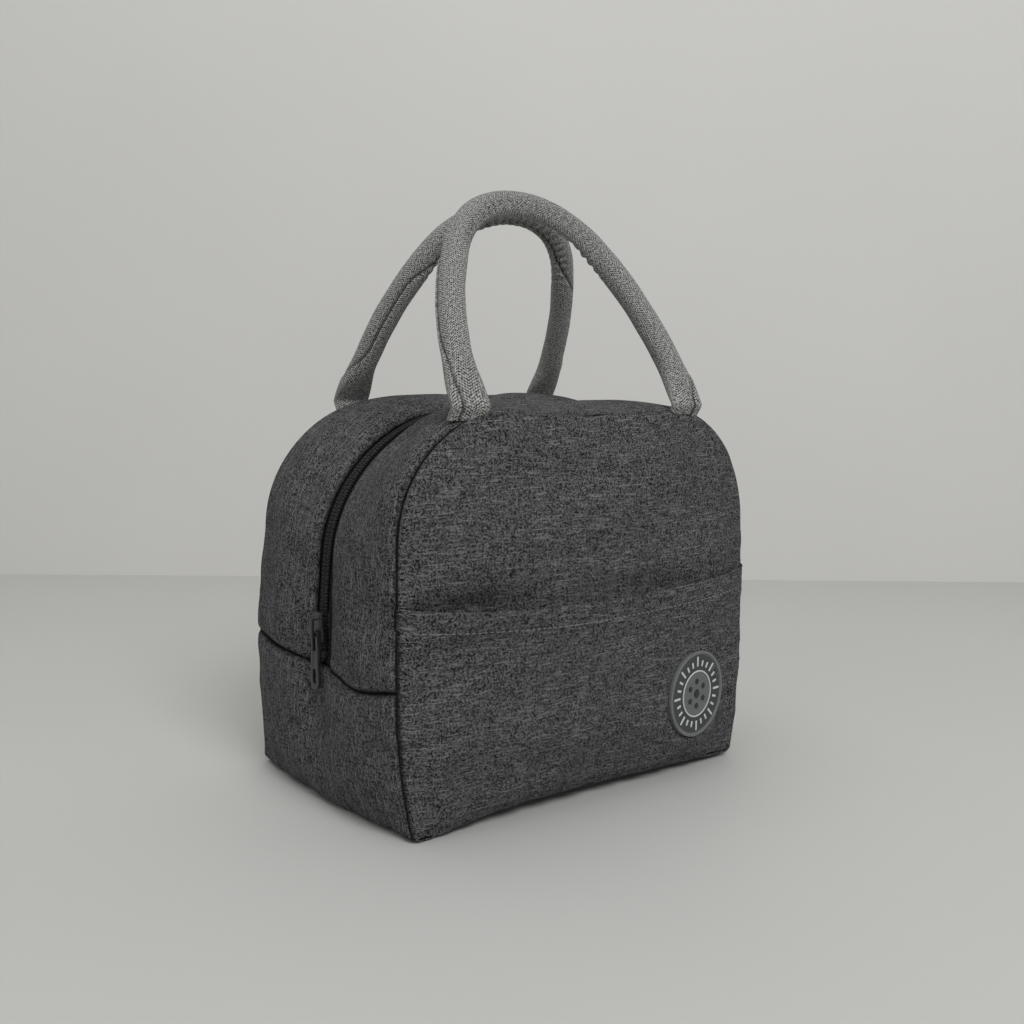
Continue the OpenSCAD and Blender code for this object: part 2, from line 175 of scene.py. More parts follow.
world = bpy.data.worlds.new("room")
bpy.context.scene.world = world
world.use_nodes = True
daylight = world.node_tree.nodes["Background"]
daylight.inputs["Color"].default_value = (0.9, 0.92, 0.95, 1)
daylight.inputs["Strength"].default_value = 0.34
bpy.context.scene.view_settings.view_transform = "Standard"

# ---------------------------------------------------------------- outer cloth
# The bag's skin is charcoal polyester cloth, woven from mottled yarn and backed with
# foam. Two D-shaped panels are sewn to a gusset: one strip round the base and lower
# sides, and two strips over the top with the zip between them.

MM = 0.001
SIDE_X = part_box("lower_gusset")[1].x
STUB_OUT = 0.6 * MM
FACE_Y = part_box("back_handle_tabs")[1].y + STUB_OUT
BODY_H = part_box("front_gusset")[1].z
SEAM_H = 73 * MM
TOP_R = 58 * MM
BASE_R = 4 * MM
ZIP_HALF = -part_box("front_gusset")[1].y
CLOTH_T = 0.8 * MM
ON_LINE = 0.01 * MM

# Points across a panel, up each stretch of its edge, and in depth along the gusset
COLUMNS = 44
FOOT_ROWS, LOWER_ROWS, UPPER_ROWS, CORNER_ROWS = 5, 14, 15, 17
STRIP_LINES, SLOT_LINES = 14, 7


def only(obj):
    """Makes obj the one selected and active object."""
    bpy.ops.object.select_all(action="DESELECT")
    obj.select_set(True)
    bpy.context.view_layer.objects.active = obj


def face_outwards(obj, merge=None):
    """Turns every face outwards, after joining points that are closer than merge."""
    only(obj)
    bpy.ops.object.mode_set(mode="EDIT")
    bpy.ops.mesh.select_all(action="SELECT")
    if merge:
        bpy.ops.mesh.remove_doubles(threshold=merge)
    bpy.ops.mesh.normals_make_consistent(inside=False)
    bpy.ops.object.mode_set(mode="OBJECT")


def vertex_values(obj, what):
    """The points' places ("co") or normals ("normal"), one row each."""
    values = np.zeros(len(obj.data.vertices) * 3)
    obj.data.vertices.foreach_get(what, values)
    return values.reshape(-1, 3)


def coordinates(obj):
    """The points' places, one row each."""
    return vertex_values(obj, "co")


def set_coordinates(obj, points):
    """Puts the points in new places."""
    obj.data.vertices.foreach_set("co", np.asarray(points, np.float32).ravel())
    obj.data.update()


def smooth(t):
    """Eases from 0 to 1."""
    t = np.clip(t, 0, 1)
    return t * t * (3 - 2 * t)


def outline_stations():
    """Half width and height of each row of a panel, from its foot to its top."""
    rows = []
    for a in np.linspace(0, math.pi / 2, FOOT_ROWS):
        rows.append((SIDE_X - BASE_R + BASE_R * math.sin(a), BASE_R - BASE_R * math.cos(a)))
    for z in np.linspace(BASE_R, SEAM_H, LOWER_ROWS)[1:]:
        rows.append((SIDE_X, z))
    for z in np.linspace(SEAM_H, BODY_H - TOP_R, UPPER_ROWS)[1:]:
        rows.append((SIDE_X, z))
    for a in np.linspace(0, math.pi / 2, CORNER_ROWS)[1:]:
        rows.append((SIDE_X - TOP_R + TOP_R * math.cos(a), BODY_H - TOP_R + TOP_R * math.sin(a)))
    return rows


ROWS = outline_stations()


def half_width(z, unit=1):
    """Half the panel's width at these heights, both in the given unit."""
    return np.interp(z, [height / unit for _, height in ROWS], [half / unit for half, _ in ROWS])


def make_panel():
    """One panel as a grid whose rows follow the D shape."""
    bpy.ops.mesh.primitive_grid_add(x_subdivisions=COLUMNS, y_subdivisions=len(ROWS) - 1, size=2)
    panel = bpy.context.object
    points = coordinates(panel)
    row = np.rint((points[:, 1] + 1) / 2 * (len(ROWS) - 1)).astype(int)
    half, height = np.array(ROWS)[row].T
    set_coordinates(panel, np.stack([points[:, 0] * half, -FACE_Y + 0 * half, height], 1))
    return panel


# Depths at which the gusset has a line of points, the zip's two edges among them
strip = np.linspace(-FACE_Y, -ZIP_HALF, STRIP_LINES)
band = np.linspace(-ZIP_HALF, ZIP_HALF, SLOT_LINES)
DEPTHS = [*strip, *band[1:], *(-strip[::-1][1:])]

shell = make_panel()
only(shell)
bpy.ops.object.mode_set(mode="EDIT")
bpy.ops.mesh.select_all(action="DESELECT")
bpy.ops.mesh.select_mode(type="EDGE")
bpy.ops.mesh.select_non_manifold(extend=False)
for near, far in zip(DEPTHS, DEPTHS[1:]):
    bpy.ops.mesh.extrude_region_move(TRANSFORM_OT_translate={"value": (0, far - near, 0)})
bpy.ops.object.mode_set(mode="OBJECT")
back = make_panel()
set_coordinates(back, coordinates(back) * (1, -1, 1))
only(shell)
back.select_set(True)
bpy.ops.object.join()
face_outwards(shell, merge=0.01 * MM)


def along_outline(x, z):
    """Distance up the panel's edge from the middle of its base, and the whole way round."""
    flat, side = SIDE_X - BASE_R, BODY_H - TOP_R - BASE_R
    quarter, crown = BASE_R * math.pi / 2, TOP_R * math.pi / 2
    top_flat = SIDE_X - TOP_R
    above = z > BASE_R
    on_top = z > BODY_H - 0.05 * MM
    foot = np.where(above, flat, np.minimum(np.abs(x), flat))
    low = np.arctan2(np.maximum(np.abs(x) - flat, 0), np.maximum(BASE_R - z, 1e-9)) * BASE_R
    low = np.where(above, quarter, low)
    rise = np.clip(z - BASE_R, 0, side)
    over = np.maximum(z - (BODY_H - TOP_R), 0)
    high = np.arctan2(over, np.maximum(np.abs(x) - top_flat, 0) + 1e-12) * TOP_R
    to_corner = flat + quarter + side + crown
    across_top = to_corner + np.maximum(top_flat - np.abs(x), 0)
    return np.where(on_top, across_top, foot + low + rise + high), 2 * (to_corner + top_flat)


PANEL_FRONT, PANEL_BACK, STRIP_FRONT, STRIP_BACK, LOWER, ZIP_BAND = range(6)


def sort_faces(obj):
    """Gives each face its cut of cloth, and lays the weave's UV map in metres."""
    points = coordinates(obj)
    uv = obj.data.uv_layers.new(name="weave")
    half_way, around = along_outline(points[:, 0], points[:, 2])
    for face in obj.data.polygons:
        middle = points[list(face.vertices)].mean(0)
        flat_y = abs(face.normal.y) > 0.9
        if flat_y:
            face.material_index = PANEL_FRONT if middle[1] < 0 else PANEL_BACK
        elif middle[2] < SEAM_H:
            face.material_index = LOWER
        elif abs(middle[1]) < ZIP_HALF:
            face.material_index = ZIP_BAND
        else:
            face.material_index = STRIP_FRONT if middle[1] < 0 else STRIP_BACK
        for loop, vertex in zip(face.loop_indices, face.vertices):
            x, y, z = points[vertex]
            if flat_y:
                uv.data[loop].uv = (x, z)
            else:
                s = half_way[vertex]
                uv.data[loop].uv = (s if middle[0] < 0 else around - s, y)


for index in range(6):
    shell.data.materials.append(None)
sort_faces(shell)

# The level bag in whole millimetres, for the shaping below: half width, half depth,
# height, side seam, half the zip's slot, and where the strips turn over the top
WIDE, DEEP, TALL, SEAM, SLOT, TURN = 111, 72.5, 195, 73, 7.5, 139

# Rise and fall of the side seams from the front to the back, and how far up it fades
SEAM_DIP_Y = [-72, -54, -42, -33, -25, -11, 10, 39, 56, 72]
SEAM_DIP_Z = [-1.5, -5.0, -6.6, -6.0, -3.8, -3.2, -2.6, -1.5, 0.2, 1.7]
SEAM_DIP_SPREAD = 26

# Lift of the foot of the front panel, along X: a tuck a third of the way across
FOOT_LIFT_X = [-111, -95, -78, -62, -40, -10, 30, 75, 111]
FOOT_LIFT_FRONT = [0.0, 0.8, 2.6, 4.4, 5.4, 5.0, 4.4, 3.4, 2.2]
FOOT_LIFT_BACK = 1.5

# How far the front left foot and the front right foot are drawn in, how far the front
# right edge and the back left edge bow out, and how far up those bows reach
LEFT_FOOT_IN, RIGHT_FOOT_IN, RIGHT_BOW, LEFT_BOW, BOW_TOP = 8, 2.5, 2.0, 1.5, 150
TOP_SAG = 1.4

# The back half has slid to the right of the front one, most at its top
SLIDE = 12
SLIDE_FROM = 75
SLIDE_POWER = 1.5

# The top strips are rounder over the zip than at the panels' seams, and stand up
OVER_ZIP_R = 70
FRONT_PUFF, BACK_PUFF = 3.4, 6.2

# How far the foam fills out the panels, the sides and the sides below their seam
FRONT_SWELL, BACK_SWELL, SIDE_SWELL, LOW_SWELL = 8.2, 7.2, 2.6, 1.8


def settle(points):
    """The bag's slight slump: pulled-in corners, a lifted front foot and a wavy seam."""
    x, y, z = (points[:, i] / MM for i in range(3))
    front = smooth(-y / DEEP)
    left, right_side = smooth(-x / WIDE), smooth(x / WIDE)
    bow = np.sin(np.clip(z / BOW_TOP, 0, 1) * math.pi)
    off_zip = 1 - (1 - smooth((np.abs(y) - 7) / 30)) * smooth((z - 28) / 20)
    dx = LEFT_FOOT_IN * left * front * np.clip(1 - z / 62, 0, 1) ** 1.6
    dx += right_side * front * RIGHT_BOW * bow
    dx -= right_side * front * RIGHT_FOOT_IN * np.clip(1 - z / 25, 0, 1)
    dx -= left * (1 - front) * LEFT_BOW * bow * off_zip
    dx += SLIDE * np.clip((z - SLIDE_FROM) / 120, 0, 1) ** SLIDE_POWER * smooth((y + DEEP) / 62)
    edge = np.clip(1 - (DEEP - np.abs(y)) / 16, 0, 1)
    lift = np.interp(x, FOOT_LIFT_X, FOOT_LIFT_FRONT) * front + FOOT_LIFT_BACK * (1 - front)
    dz = lift * smooth(edge) * np.clip(1 - z / 30, 0, 1) ** 2
    dip = np.interp(y, SEAM_DIP_Y, SEAM_DIP_Z) * np.exp(-(((z - SEAM) / SEAM_DIP_SPREAD) ** 2))
    dz += (left + 0.7 * right_side) * dip
    dz *= smooth((np.abs(x) - 60) / 45) * (z > 30) + (z <= 30)
    dz -= TOP_SAG * np.cos(np.clip(x / 70, -1, 1) * math.pi / 2) * smooth((z - 170) / 25)
    return points + np.stack([dx, 0 * dx, dz], 1) * MM


def billow(points):
    """How far the foam-backed walls stand out between their seams."""
    x, y, z = (points[:, i] / MM for i in range(3))
    out = np.zeros_like(points)
    across = np.clip(1 - (x / half_width(z, MM)) ** 2, 0, 1) ** 0.8
    up = np.clip(z / 40, 0, 1) ** 0.6 * np.clip((TALL - z) / 62, 0, 1) ** 0.62
    is_panel = np.abs(np.abs(y) - DEEP) < 0.01
    out[:, 1] += is_panel * np.sign(y) * across * up * np.where(y < 0, FRONT_SWELL, BACK_SWELL)
    beyond = np.abs(x) - (WIDE - OVER_ZIP_R)
    over = z - (TALL - OVER_ZIP_R)
    radius = np.hypot(beyond, over)
    corner = (beyond > 0) & (over > 0) & ~is_panel
    pull = np.where(corner, OVER_ZIP_R / np.maximum(radius, OVER_ZIP_R) - 1, 0)
    pull *= smooth(1.25 * (1 - np.abs(y) / DEEP))
    out[:, 0] += pull * beyond * np.sign(x)
    out[:, 2] += pull * over
    gap = np.clip((np.abs(y) - SLOT) / (DEEP - SLOT), 0, 1)
    swell = np.sin(gap * math.pi) ** 0.8
    side = (~is_panel) & (np.abs(x) > 60)
    lean = np.clip((z - TURN) / (TALL - TURN), 0, 1) * math.pi / 2
    push = SIDE_SWELL * swell * np.clip(z / 20, 0, 1)
    stand = 0.75 * swell + 0.25 * np.clip(gap * 6, 0, 1) * (gap < 1)
    puff = np.where(y < 0, FRONT_PUFF, BACK_PUFF) * stand
    out[:, 0] += side * np.sign(x) * push * np.cos(lean)
    out[:, 2] += (~is_panel) * (z > TURN) * puff * np.sin(lean)
    low = np.sin(np.clip((y + DEEP) / (2 * DEEP), 0, 1) * math.pi)
    out[:, 0] += side * (z < SEAM) * np.sign(x) * LOW_SWELL * low * np.clip(z / 20, 0, 1)
    return points + out * MM


# Dents in the front panel and the pocket: x, z, half width, half height and depth each
PANEL_DENTS = [
    (-72, 105, 27, 10, 7.5), (26, 106, 42, 8, 4.0), (-22, 166, 44, 10, 3.4),
    (52, 142, 24, 12, 2.8), (-84, 150, 12, 16, 2.2), (6, 129, 46, 7, 1.8), (-40, 138, 22, 8, -1.2),
]
POCKET_DENTS = [
    (-80, 87, 26, 10, 5.0), (-84, 66, 22, 9, -1.6), (-20, 62, 44, 9, 2.6), (-52, 28, 30, 11, 3.4),
    (30, 86, 30, 10, 2.4), (10, 20, 36, 9, 1.6), (97.5, 37, 1.6, 15, 1.8), (102, 36, 2.4, 16, -1.8),
]


def dented(x, z, dents):
    """How far the dents draw the cloth in at these points, fading out at the seams."""
    x, z = x / MM, z / MM
    deep = sum(
        depth * np.exp(-(((x - at_x) / wide) ** 2) - ((z - at_z) / high) ** 2)
        for at_x, at_z, wide, high, depth in dents
    )
    return deep * smooth((half_width(z, MM) - np.abs(x)) / 9) * smooth((TALL - z) / 12) * MM


def undulate(points, normals, size, height):
    """Soft dents and swellings, as foam-backed cloth takes when it is handled."""
    field = [
        noise.noise(Vector(p) / size) + 0.5 * noise.noise(Vector(p) / (size * 0.45))
        for p in points
    ]
    return points + normals * (np.array(field) * height)[:, None]


CLOTH_FRAMES = 14
CLOTH_SETTINGS = {
    "vertex_group_mass": "sewn",
    "quality": 5,
    "tension_stiffness": 12,
    "compression_stiffness": 12,
    "shear_stiffness": 4,
    "bending_stiffness": 4,
    "use_pressure": True,
    "uniform_pressure_force": 0.9,
    "shrink_min": -0.012,
}
MOST_MOVE = 4 * MM


def fill_out(obj, sewn):
    """Lets the cloth swell against its sewn lines, and caps how far a point moves."""
    before = coordinates(obj)
    group = obj.vertex_groups.new(name="sewn")
    group.add([int(i) for i in np.flatnonzero(sewn)], 1.0, "REPLACE")
    cloth = obj.modifiers.new("Cloth", "CLOTH")
    for key, value in CLOTH_SETTINGS.items():
        setattr(cloth.settings, key, value)
    cloth.settings.effector_weights.gravity = 0
    cloth.point_cache.frame_end = CLOTH_FRAMES
    for number in range(1, CLOTH_FRAMES + 1):
        bpy.context.scene.frame_set(number)
    only(obj)
    bpy.ops.object.modifier_apply(modifier=cloth.name)
    bpy.context.scene.frame_set(1)
    move = coordinates(obj) - before
    far = np.linalg.norm(move, axis=1, keepdims=True)
    set_coordinates(obj, before + move * np.minimum(1, MOST_MOVE / np.maximum(far, 1e-9)))


level_points = coordinates(shell)
level_faces = [tuple(face.vertices) for face in shell.data.polygons]
x0, y0, z0 = level_points.T
on_seam = np.abs(np.abs(y0) - FACE_Y) < ON_LINE
at_end = (z0 < ON_LINE) | (z0 > BODY_H - ON_LINE)
edge_of_panel = on_seam & ((np.abs(np.abs(x0) - half_width(z0)) < ON_LINE) | at_end)
side_seam = (np.abs(z0 - SEAM_H) < ON_LINE) & ~on_seam
zip_lines = (np.abs(y0) < ZIP_HALF + ON_LINE) & (z0 > SEAM_H - ON_LINE)
base = z0 < 0.5 * MM
sewn_points = edge_of_panel | side_seam | zip_lines | base

WAVE_SIZE, WAVE_HEIGHT = 0.055, 1.1 * MM
set_coordinates(shell, billow(level_points))
waves = undulate(coordinates(shell), vertex_values(shell, "normal"), WAVE_SIZE, WAVE_HEIGHT)
waves[:, 1] += (y0 < -FACE_Y + ON_LINE) * dented(x0, z0, PANEL_DENTS)
set_coordinates(shell, np.where(sewn_points[:, None], coordinates(shell), waves))
fill_out(shell, sewn_points)

# The cloth stays back behind the pull, which hangs over the side seam
UNDER_PULL = 0.6 * MM
filled = coordinates(shell)
behind_pull = smooth((12 * MM - np.abs(y0)) / (6 * MM)) * smooth((z0 - 32 * MM) / (10 * MM))
behind_pull *= (x0 < 0) * (z0 < SEAM_H + 0.1 * MM)
held_back = np.maximum(filled[:, 0], x0.min() - UNDER_PULL)
filled[:, 0] += behind_pull * (held_back - filled[:, 0])
set_coordinates(shell, settle(filled))

shift = coordinates(shell) - level_points
carried = kdtree.KDTree(len(level_points))
for index, point in enumerate(level_points):
    carried.insert(point, index)
carried.balance()


def follow(points, near=5):
    """Carries points of the level bag to where the slumped, swollen cloth took them."""
    moved = np.array(points, float)
    for row, point in enumerate(points):
        hits = carried.find_n(point, near)
        weight = np.array([1 / (hit[2] + 0.3 * MM) ** 2 for hit in hits])
        moved[row] += (shift[[hit[1] for hit in hits]] * weight[:, None]).sum(0) / weight.sum()
    return moved


def adder_of_sums(tree):
    """A function that adds one Math node to the tree and gives its output."""
    def calc(kind, *values):
        return add_node(tree, "Math", dict(enumerate(values)), operation=kind).outputs[0]
    return calc


YARN_PITCH = 0.54 * MM


def weave_group():
    """Plain weave of mottled yarn: each thread's tone wanders along its length."""
    group = bpy.data.node_groups.new("mottled_weave", "ShaderNodeTree")
    for name, kind, in_out in (
        ("Dark", "NodeSocketColor", "INPUT"),
        ("Light", "NodeSocketColor", "INPUT"),
        ("Color", "NodeSocketColor", "OUTPUT"),
        ("Height", "NodeSocketFloat", "OUTPUT"),
    ):
        group.interface.new_socket(name, in_out=in_out, socket_type=kind)
    entry, leave = group.nodes.new("NodeGroupInput"), group.nodes.new("NodeGroupOutput")
    calc = adder_of_sums(group)
    uv = add_node(group, "UVMap", uv_map="weave").outputs["UV"]
    parts = add_node(group, "SeparateXYZ", {"Vector": uv})

    def thread_tone(along, number, scale, step):
        """Noise that runs along one thread and jumps to the next."""
        place = {"X": calc("MULTIPLY", along, scale), "Y": calc("MULTIPLY", number, step)}
        vector = add_node(group, "CombineXYZ", place).outputs["Vector"]
        sockets = {"Vector": vector, "Scale": 1, "Detail": 2, "Roughness": 0.7}
        return add_node(group, "TexNoise", sockets, noise_dimensions="2D").outputs["Fac"]

    across, up = parts.outputs["X"], parts.outputs["Y"]
    warp_place = calc("DIVIDE", across, YARN_PITCH)
    weft_place = calc("DIVIDE", up, YARN_PITCH)
    warp_number = calc("FLOOR", warp_place)
    weft_number = calc("FLOOR", weft_place)
    weft = thread_tone(across, weft_number, 90, 3.71)
    warp = thread_tone(up, warp_number, 160, 5.37)
    crossing = add_node(group, "CombineXYZ", {"X": warp_number, "Y": weft_number})
    sockets = {"Vector": crossing.outputs["Vector"]}
    fleck = add_node(group, "TexWhiteNoise", sockets, noise_dimensions="2D").outputs["Value"]
    over = calc("FLOORED_MODULO", calc("ADD", warp_number, weft_number), 2)
    slub = calc("MAXIMUM", calc("SUBTRACT", weft, 0.53), 0)
    shown = calc("MULTIPLY_ADD", fleck, 1.1, -0.5)
    shown = calc("MULTIPLY_ADD", slub, 3.6, shown)
    shown = calc("MULTIPLY_ADD", calc("SUBTRACT", warp, 0.5), 0.7, shown)
    shown = calc("MULTIPLY_ADD", calc("SUBTRACT", over, 0.5), 0.26, shown)
    shown = calc("ADD", shown, 0.36)
    gap = calc("MULTIPLY", calc("PINGPONG", warp_place, 0.5), calc("PINGPONG", weft_place, 0.5))
    yarn = calc("POWER", calc("MULTIPLY", gap, 4), 0.5)
    round_top = calc("MULTIPLY_ADD", yarn, 0.75, 0.45)
    clamped = add_node(group, "Clamp", {"Value": calc("MULTIPLY", shown, round_top)})
    dark, light = entry.outputs["Dark"], entry.outputs["Light"]
    tone = between(group, clamped.outputs["Result"], dark, light)
    height = calc("MULTIPLY_ADD", over, 0.3, round_top)
    fill_sockets(group, leave, {"Color": tone, "Height": height})
    return group


def cloth_material(name, dark, light):
    """The outer cloth: soft and dull, with painted shade darkening it along its seams."""
    material, tree, shader = new_material(name, {"Roughness": 0.9, "Specular IOR Level": 0.12})
    weave = add_node(tree, "Group", node_tree=weave_group())
    fill_sockets(tree, weave, {"Dark": (*dark, 1), "Light": (*light, 1)})
    # The seam_shade points paint shade into the seams, mixing the weave towards near black
    seam = add_node(tree, "Attribute", attribute_name="seam_shade").outputs["Fac"]
    fill_sockets(tree, shader, {
        "Base Color": between(tree, seam, weave.outputs["Color"], (0.004, 0.004, 0.005, 1)),
        "Normal": bumped(tree, weave.outputs["Height"], 0.5, 0.22 * MM),
    })
    return material


CLOTH = cloth_material("charcoal_cloth", (0.008, 0.008, 0.009), (0.200, 0.196, 0.199))


def give(obj, material):
    """Gives all of a piece one material."""
    obj.data.materials.clear()
    obj.data.materials.append(material)
    for face in obj.data.polygons:
        face.material_index = 0


def keep_faces(source, name, cut):
    """Copies source and keeps only the faces of one cut of cloth."""
    piece = source.copy()
    piece.data = source.data.copy()
    piece.name = name
    bpy.context.collection.objects.link(piece)
    shape = bmesh.new()
    shape.from_mesh(piece.data)
    others = [f for f in shape.faces if f.material_index != cut]
    bmesh.ops.delete(shape, geom=others, context="FACES")
    shape.to_mesh(piece.data)
    shape.free()
    return piece


def apply_modifier(obj, kind, **settings):
    """Adds one modifier, set up, and applies it."""
    modifier = obj.modifiers.new(kind.title(), kind)
    for key, value in settings.items():
        setattr(modifier, key, value)
    only(obj)
    bpy.ops.object.modifier_apply(modifier=modifier.name)


SEAM_WIDTH = 3.4 * MM
SEAM_DEPTH = 2.2 * MM
# The painted shade along the seams: how far from a sewn line it reaches, and how dark it gets at most
SEAM_SHADE = 1.9 * MM
DARKEST = 0.93
ZIP_WIDTH = 6.5 * MM
ZIP_DEPTH = 1.7 * MM
CREASE = 0.55


def shade_points(mesh, name, shades):
    """Keeps a painted shade for each point, which the piece's material reads."""
    values = np.asarray(shades, np.float32).ravel()
    mesh.attributes.new(name, "FLOAT", "POINT").data.foreach_set("value", values)


def sink_seams(obj):
    """Draws the cloth inwards along every sewn line, and more beside the zip, and keeps painted shade
    for the points nearest each line.
    """
    shape = bmesh.new()
    shape.from_mesh(obj.data)
    shades = np.zeros(len(shape.verts))
    for width, depth, is_zip in ((ZIP_WIDTH, ZIP_DEPTH, True), (SEAM_WIDTH, SEAM_DEPTH, False)):
        far = {}
        for edge in shape.edges:
            cuts = {face.material_index for face in edge.link_faces}
            if len(cuts) == 2 and (ZIP_BAND in cuts) == is_zip:
                far.update({v: 0.0 for v in edge.verts})
        ring = list(far)
        while ring:
            wider = []
            for v in ring:
                for edge in v.link_edges:
                    other = edge.other_vert(v)
                    reach = far[v] + edge.calc_length()
                    if reach < min(width, far.get(other, 1)) - 1e-7:
                        far[other] = reach
                        wider.append(other)
            ring = wider
        drop = {v: v.normal * depth * (1 - reach / width) ** 2 for v, reach in far.items()}
        for v, step in drop.items():
            v.co -= step
            # Painted shade in the seam's groove: darkest on the sewn line, gone SEAM_SHADE away
            shades[v.index] = max(shades[v.index], 1 - far[v] / SEAM_SHADE)
        shape.normal_update()
    shape.to_mesh(obj.data)
    shape.free()
    shade_points(obj.data, "seam_shade", DARKEST * shades)


crease = shell.data.attributes.new("crease_edge", "FLOAT", "EDGE")
cuts_at_edge = {}
for face in shell.data.polygons:
    for key in face.edge_keys:
        cuts_at_edge.setdefault(key, set()).add(face.material_index)
for edge in shell.data.edges:
    if len(cuts_at_edge[edge.key]) == 2:
        crease.data[edge.index].value = CREASE
apply_modifier(shell, "SUBSURF", levels=2, render_levels=2)
sink_seams(shell)


def finish_cloth(obj, thickness):
    """Gives a cut of cloth its thickness, finish and smooth shading."""
    give(obj, CLOTH)
    apply_modifier(obj, "SOLIDIFY", thickness=thickness, offset=-1)
    only(obj)
    bpy.ops.object.shade_smooth()


def bend_with_mouth(obj, half):
    """Bakes the piece's place into its points. Its half is not used."""
    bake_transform(obj)


for name, cut, half, stands_for in (
    ("front_panel", PANEL_FRONT, "front_half", ("front_panel_lower", "front_panel_upper")),
    ("back_panel", PANEL_BACK, "back_half", ("back_panel_lower", "back_panel_upper")),
    ("front_gusset_strip", STRIP_FRONT, "front_half", ("front_gusset",)),
    ("back_gusset_strip", STRIP_BACK, "back_half", ("back_gusset",)),
    ("base_gusset", LOWER, None, ("lower_gusset",)),
):
    piece = keep_faces(shell, name, cut)
    finish_cloth(piece, CLOTH_T)
    if half:
        bend_with_mouth(piece, half)
    else:
        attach(piece, "tub")
    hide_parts(*stands_for)
bpy.data.objects.remove(shell)

# ---------------------------------------------------------------- foam and foil lining
# Behind the cloth is closed-cell foam faced with embossed foil film. It is cut and sewn
# as a box like the outer bag, and the zip's slot divides it over the top.

LINING_OUT = 2.7 * MM
LINING_IN = 5.5 * MM
INNER_SHARE = 0.96
LINING_ZIP_EDGE = 15.6 * MM
LINING_ZIP_FOOT = SEAM_H - 6 * MM


def inset_box(points, depth):
    """Draws the level bag's walls in by depth, with the base and top as well."""
    scale = np.array([1 - depth / SIDE_X, 1 - depth / FACE_Y, 1 - 2 * depth / BODY_H])
    return points * scale + np.array([0, 0, depth])


def foil_material():
    """Foil film, embossed with fine pips and crinkled by handling."""
    material, tree, shader = new_material("foil_film", {"Metallic": 0.85})
    place = add_node(tree, "TexCoord").outputs["Object"]
    emboss = add_node(tree, "TexVoronoi", {"Vector": place, "Scale": 420}).outputs["Distance"]
    sockets = {"Vector": place, "Scale": 90, "Detail": 5}
    crinkle = add_node(tree, "TexNoise", sockets).outputs["Fac"]
    rough = add_node(tree, "MapRange", {"Value": crinkle, "To Min": 0.28, "To Max": 0.5})
    height = adder_of_sums(tree)("MULTIPLY_ADD", emboss, 0.5, crinkle)
    fill_sockets(tree, shader, {
        "Base Color": between(tree, crinkle, (0.56, 0.57, 0.58, 1), (0.76, 0.77, 0.78, 1)),
        "Roughness": rough.outputs["Result"],
        "Normal": bumped(tree, height, 0.6, 0.5 * MM),
    })
    return material


FOIL = foil_material()


def new_piece(name, points, faces):
    """A new object from its points and the faces between them."""
    mesh = bpy.data.meshes.new(name)
    mesh.from_pydata([tuple(p) for p in points], [], faces)
    piece = bpy.data.objects.new(name, mesh)
    bpy.context.collection.objects.link(piece)
    return piece


def make_lining(name, sign):
    """Half of the lining: two skins, closed along every edge."""
    level = level_points * np.array([1, sign, 1])
    wall = []
    for face in level_faces:
        _, y, z = level[list(face)].mean(0)
        in_slot = abs(y) < LINING_ZIP_EDGE and z > LINING_ZIP_FOOT
        if y < 0 and not in_slot:
            wall.append(face)
    used = sorted({v for face in wall for v in face})
    number = {v: i for i, v in enumerate(used)}
    count = len(used)
    outer = inset_box(level_points[used], LINING_OUT) + shift[used]
    inner = inset_box(level_points[used], LINING_IN) + shift[used] * INNER_SHARE
    edges = {}
    faces = []
    for face in wall:
        ring = [number[v] for v in face]
        faces.append(ring)
        faces.append([i + count for i in reversed(ring)])
        edges.update(dict.fromkeys(zip(ring, ring[1:] + ring[:1])))
    for a, b in edges:
        if (b, a) not in edges:
            faces.append([b, a, a + count, b + count])
    return new_piece(name, np.vstack([outer, inner]), faces)


for side, sign in (("front", 1), ("back", -1)):
    lining = make_lining(side + "_lining", sign)
    give(lining, FOIL)
    only(lining)
    bpy.ops.object.shade_smooth_by_angle(angle=math.radians(40))
    bend_with_mouth(lining, side + "_half")
    layers = ["foam_lower", "foam_upper", "liner_lower", "liner_upper", "gusset_foam", "gusset_liner"]
    stands_for = [f"{side}_{layer}" for layer in layers]
    if side == "front":
        stands_for += ["lower_gusset_foam", "lower_gusset_liner"]
    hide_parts(*stands_for)

# ---------------------------------------------------------------- slip pocket
# A single ply of the same cloth lies over the lower front. Its mouth is hemmed with
# one line of pale stitching, and its other edges are caught in the panel's seams.

POCKET_TOP = 110 * MM
POCKET_FOOT = 1.0 * MM
POCKET_T = 0.6 * MM
LIP_SAG = 6 * MM
HEM = 10 * MM
HEM_GAP = 0.85 * MM
POCKET_COLUMNS = 260
POCKET_ROWS = 96
HEM_ROWS = 9
POCKET_REACH = 0.994
MOUTH_FROM = 66 * MM

# How far the pocket stands off the panel: everywhere, at its mouth, and where it gapes
SLACK, MOUTH_SLACK, GAPE = 1.0, 1.9, 3.4
GAPE_X, GAPE_WIDE = -66 * MM, 44 * MM

# The badge holds a round of the pocket to the curve of the padded front
BADGE = Vector(((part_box("badge_disc")[0].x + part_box("badge_disc")[1].x) / 2, 0, 45 * MM))
BADGE_R = 23 * MM
BOW_R = 453.31 * MM
BOW_Y = 366.91 * MM


def lip_height(x):
    """Height of the pocket's mouth at x, lowest in its middle."""
    return POCKET_TOP - LIP_SAG * (1 - (x / SIDE_X) ** 2)


def bowed(x):
    """How far forward the padded front's curve stands at x."""
    return BOW_Y - np.sqrt(BOW_R ** 2 - x ** 2)


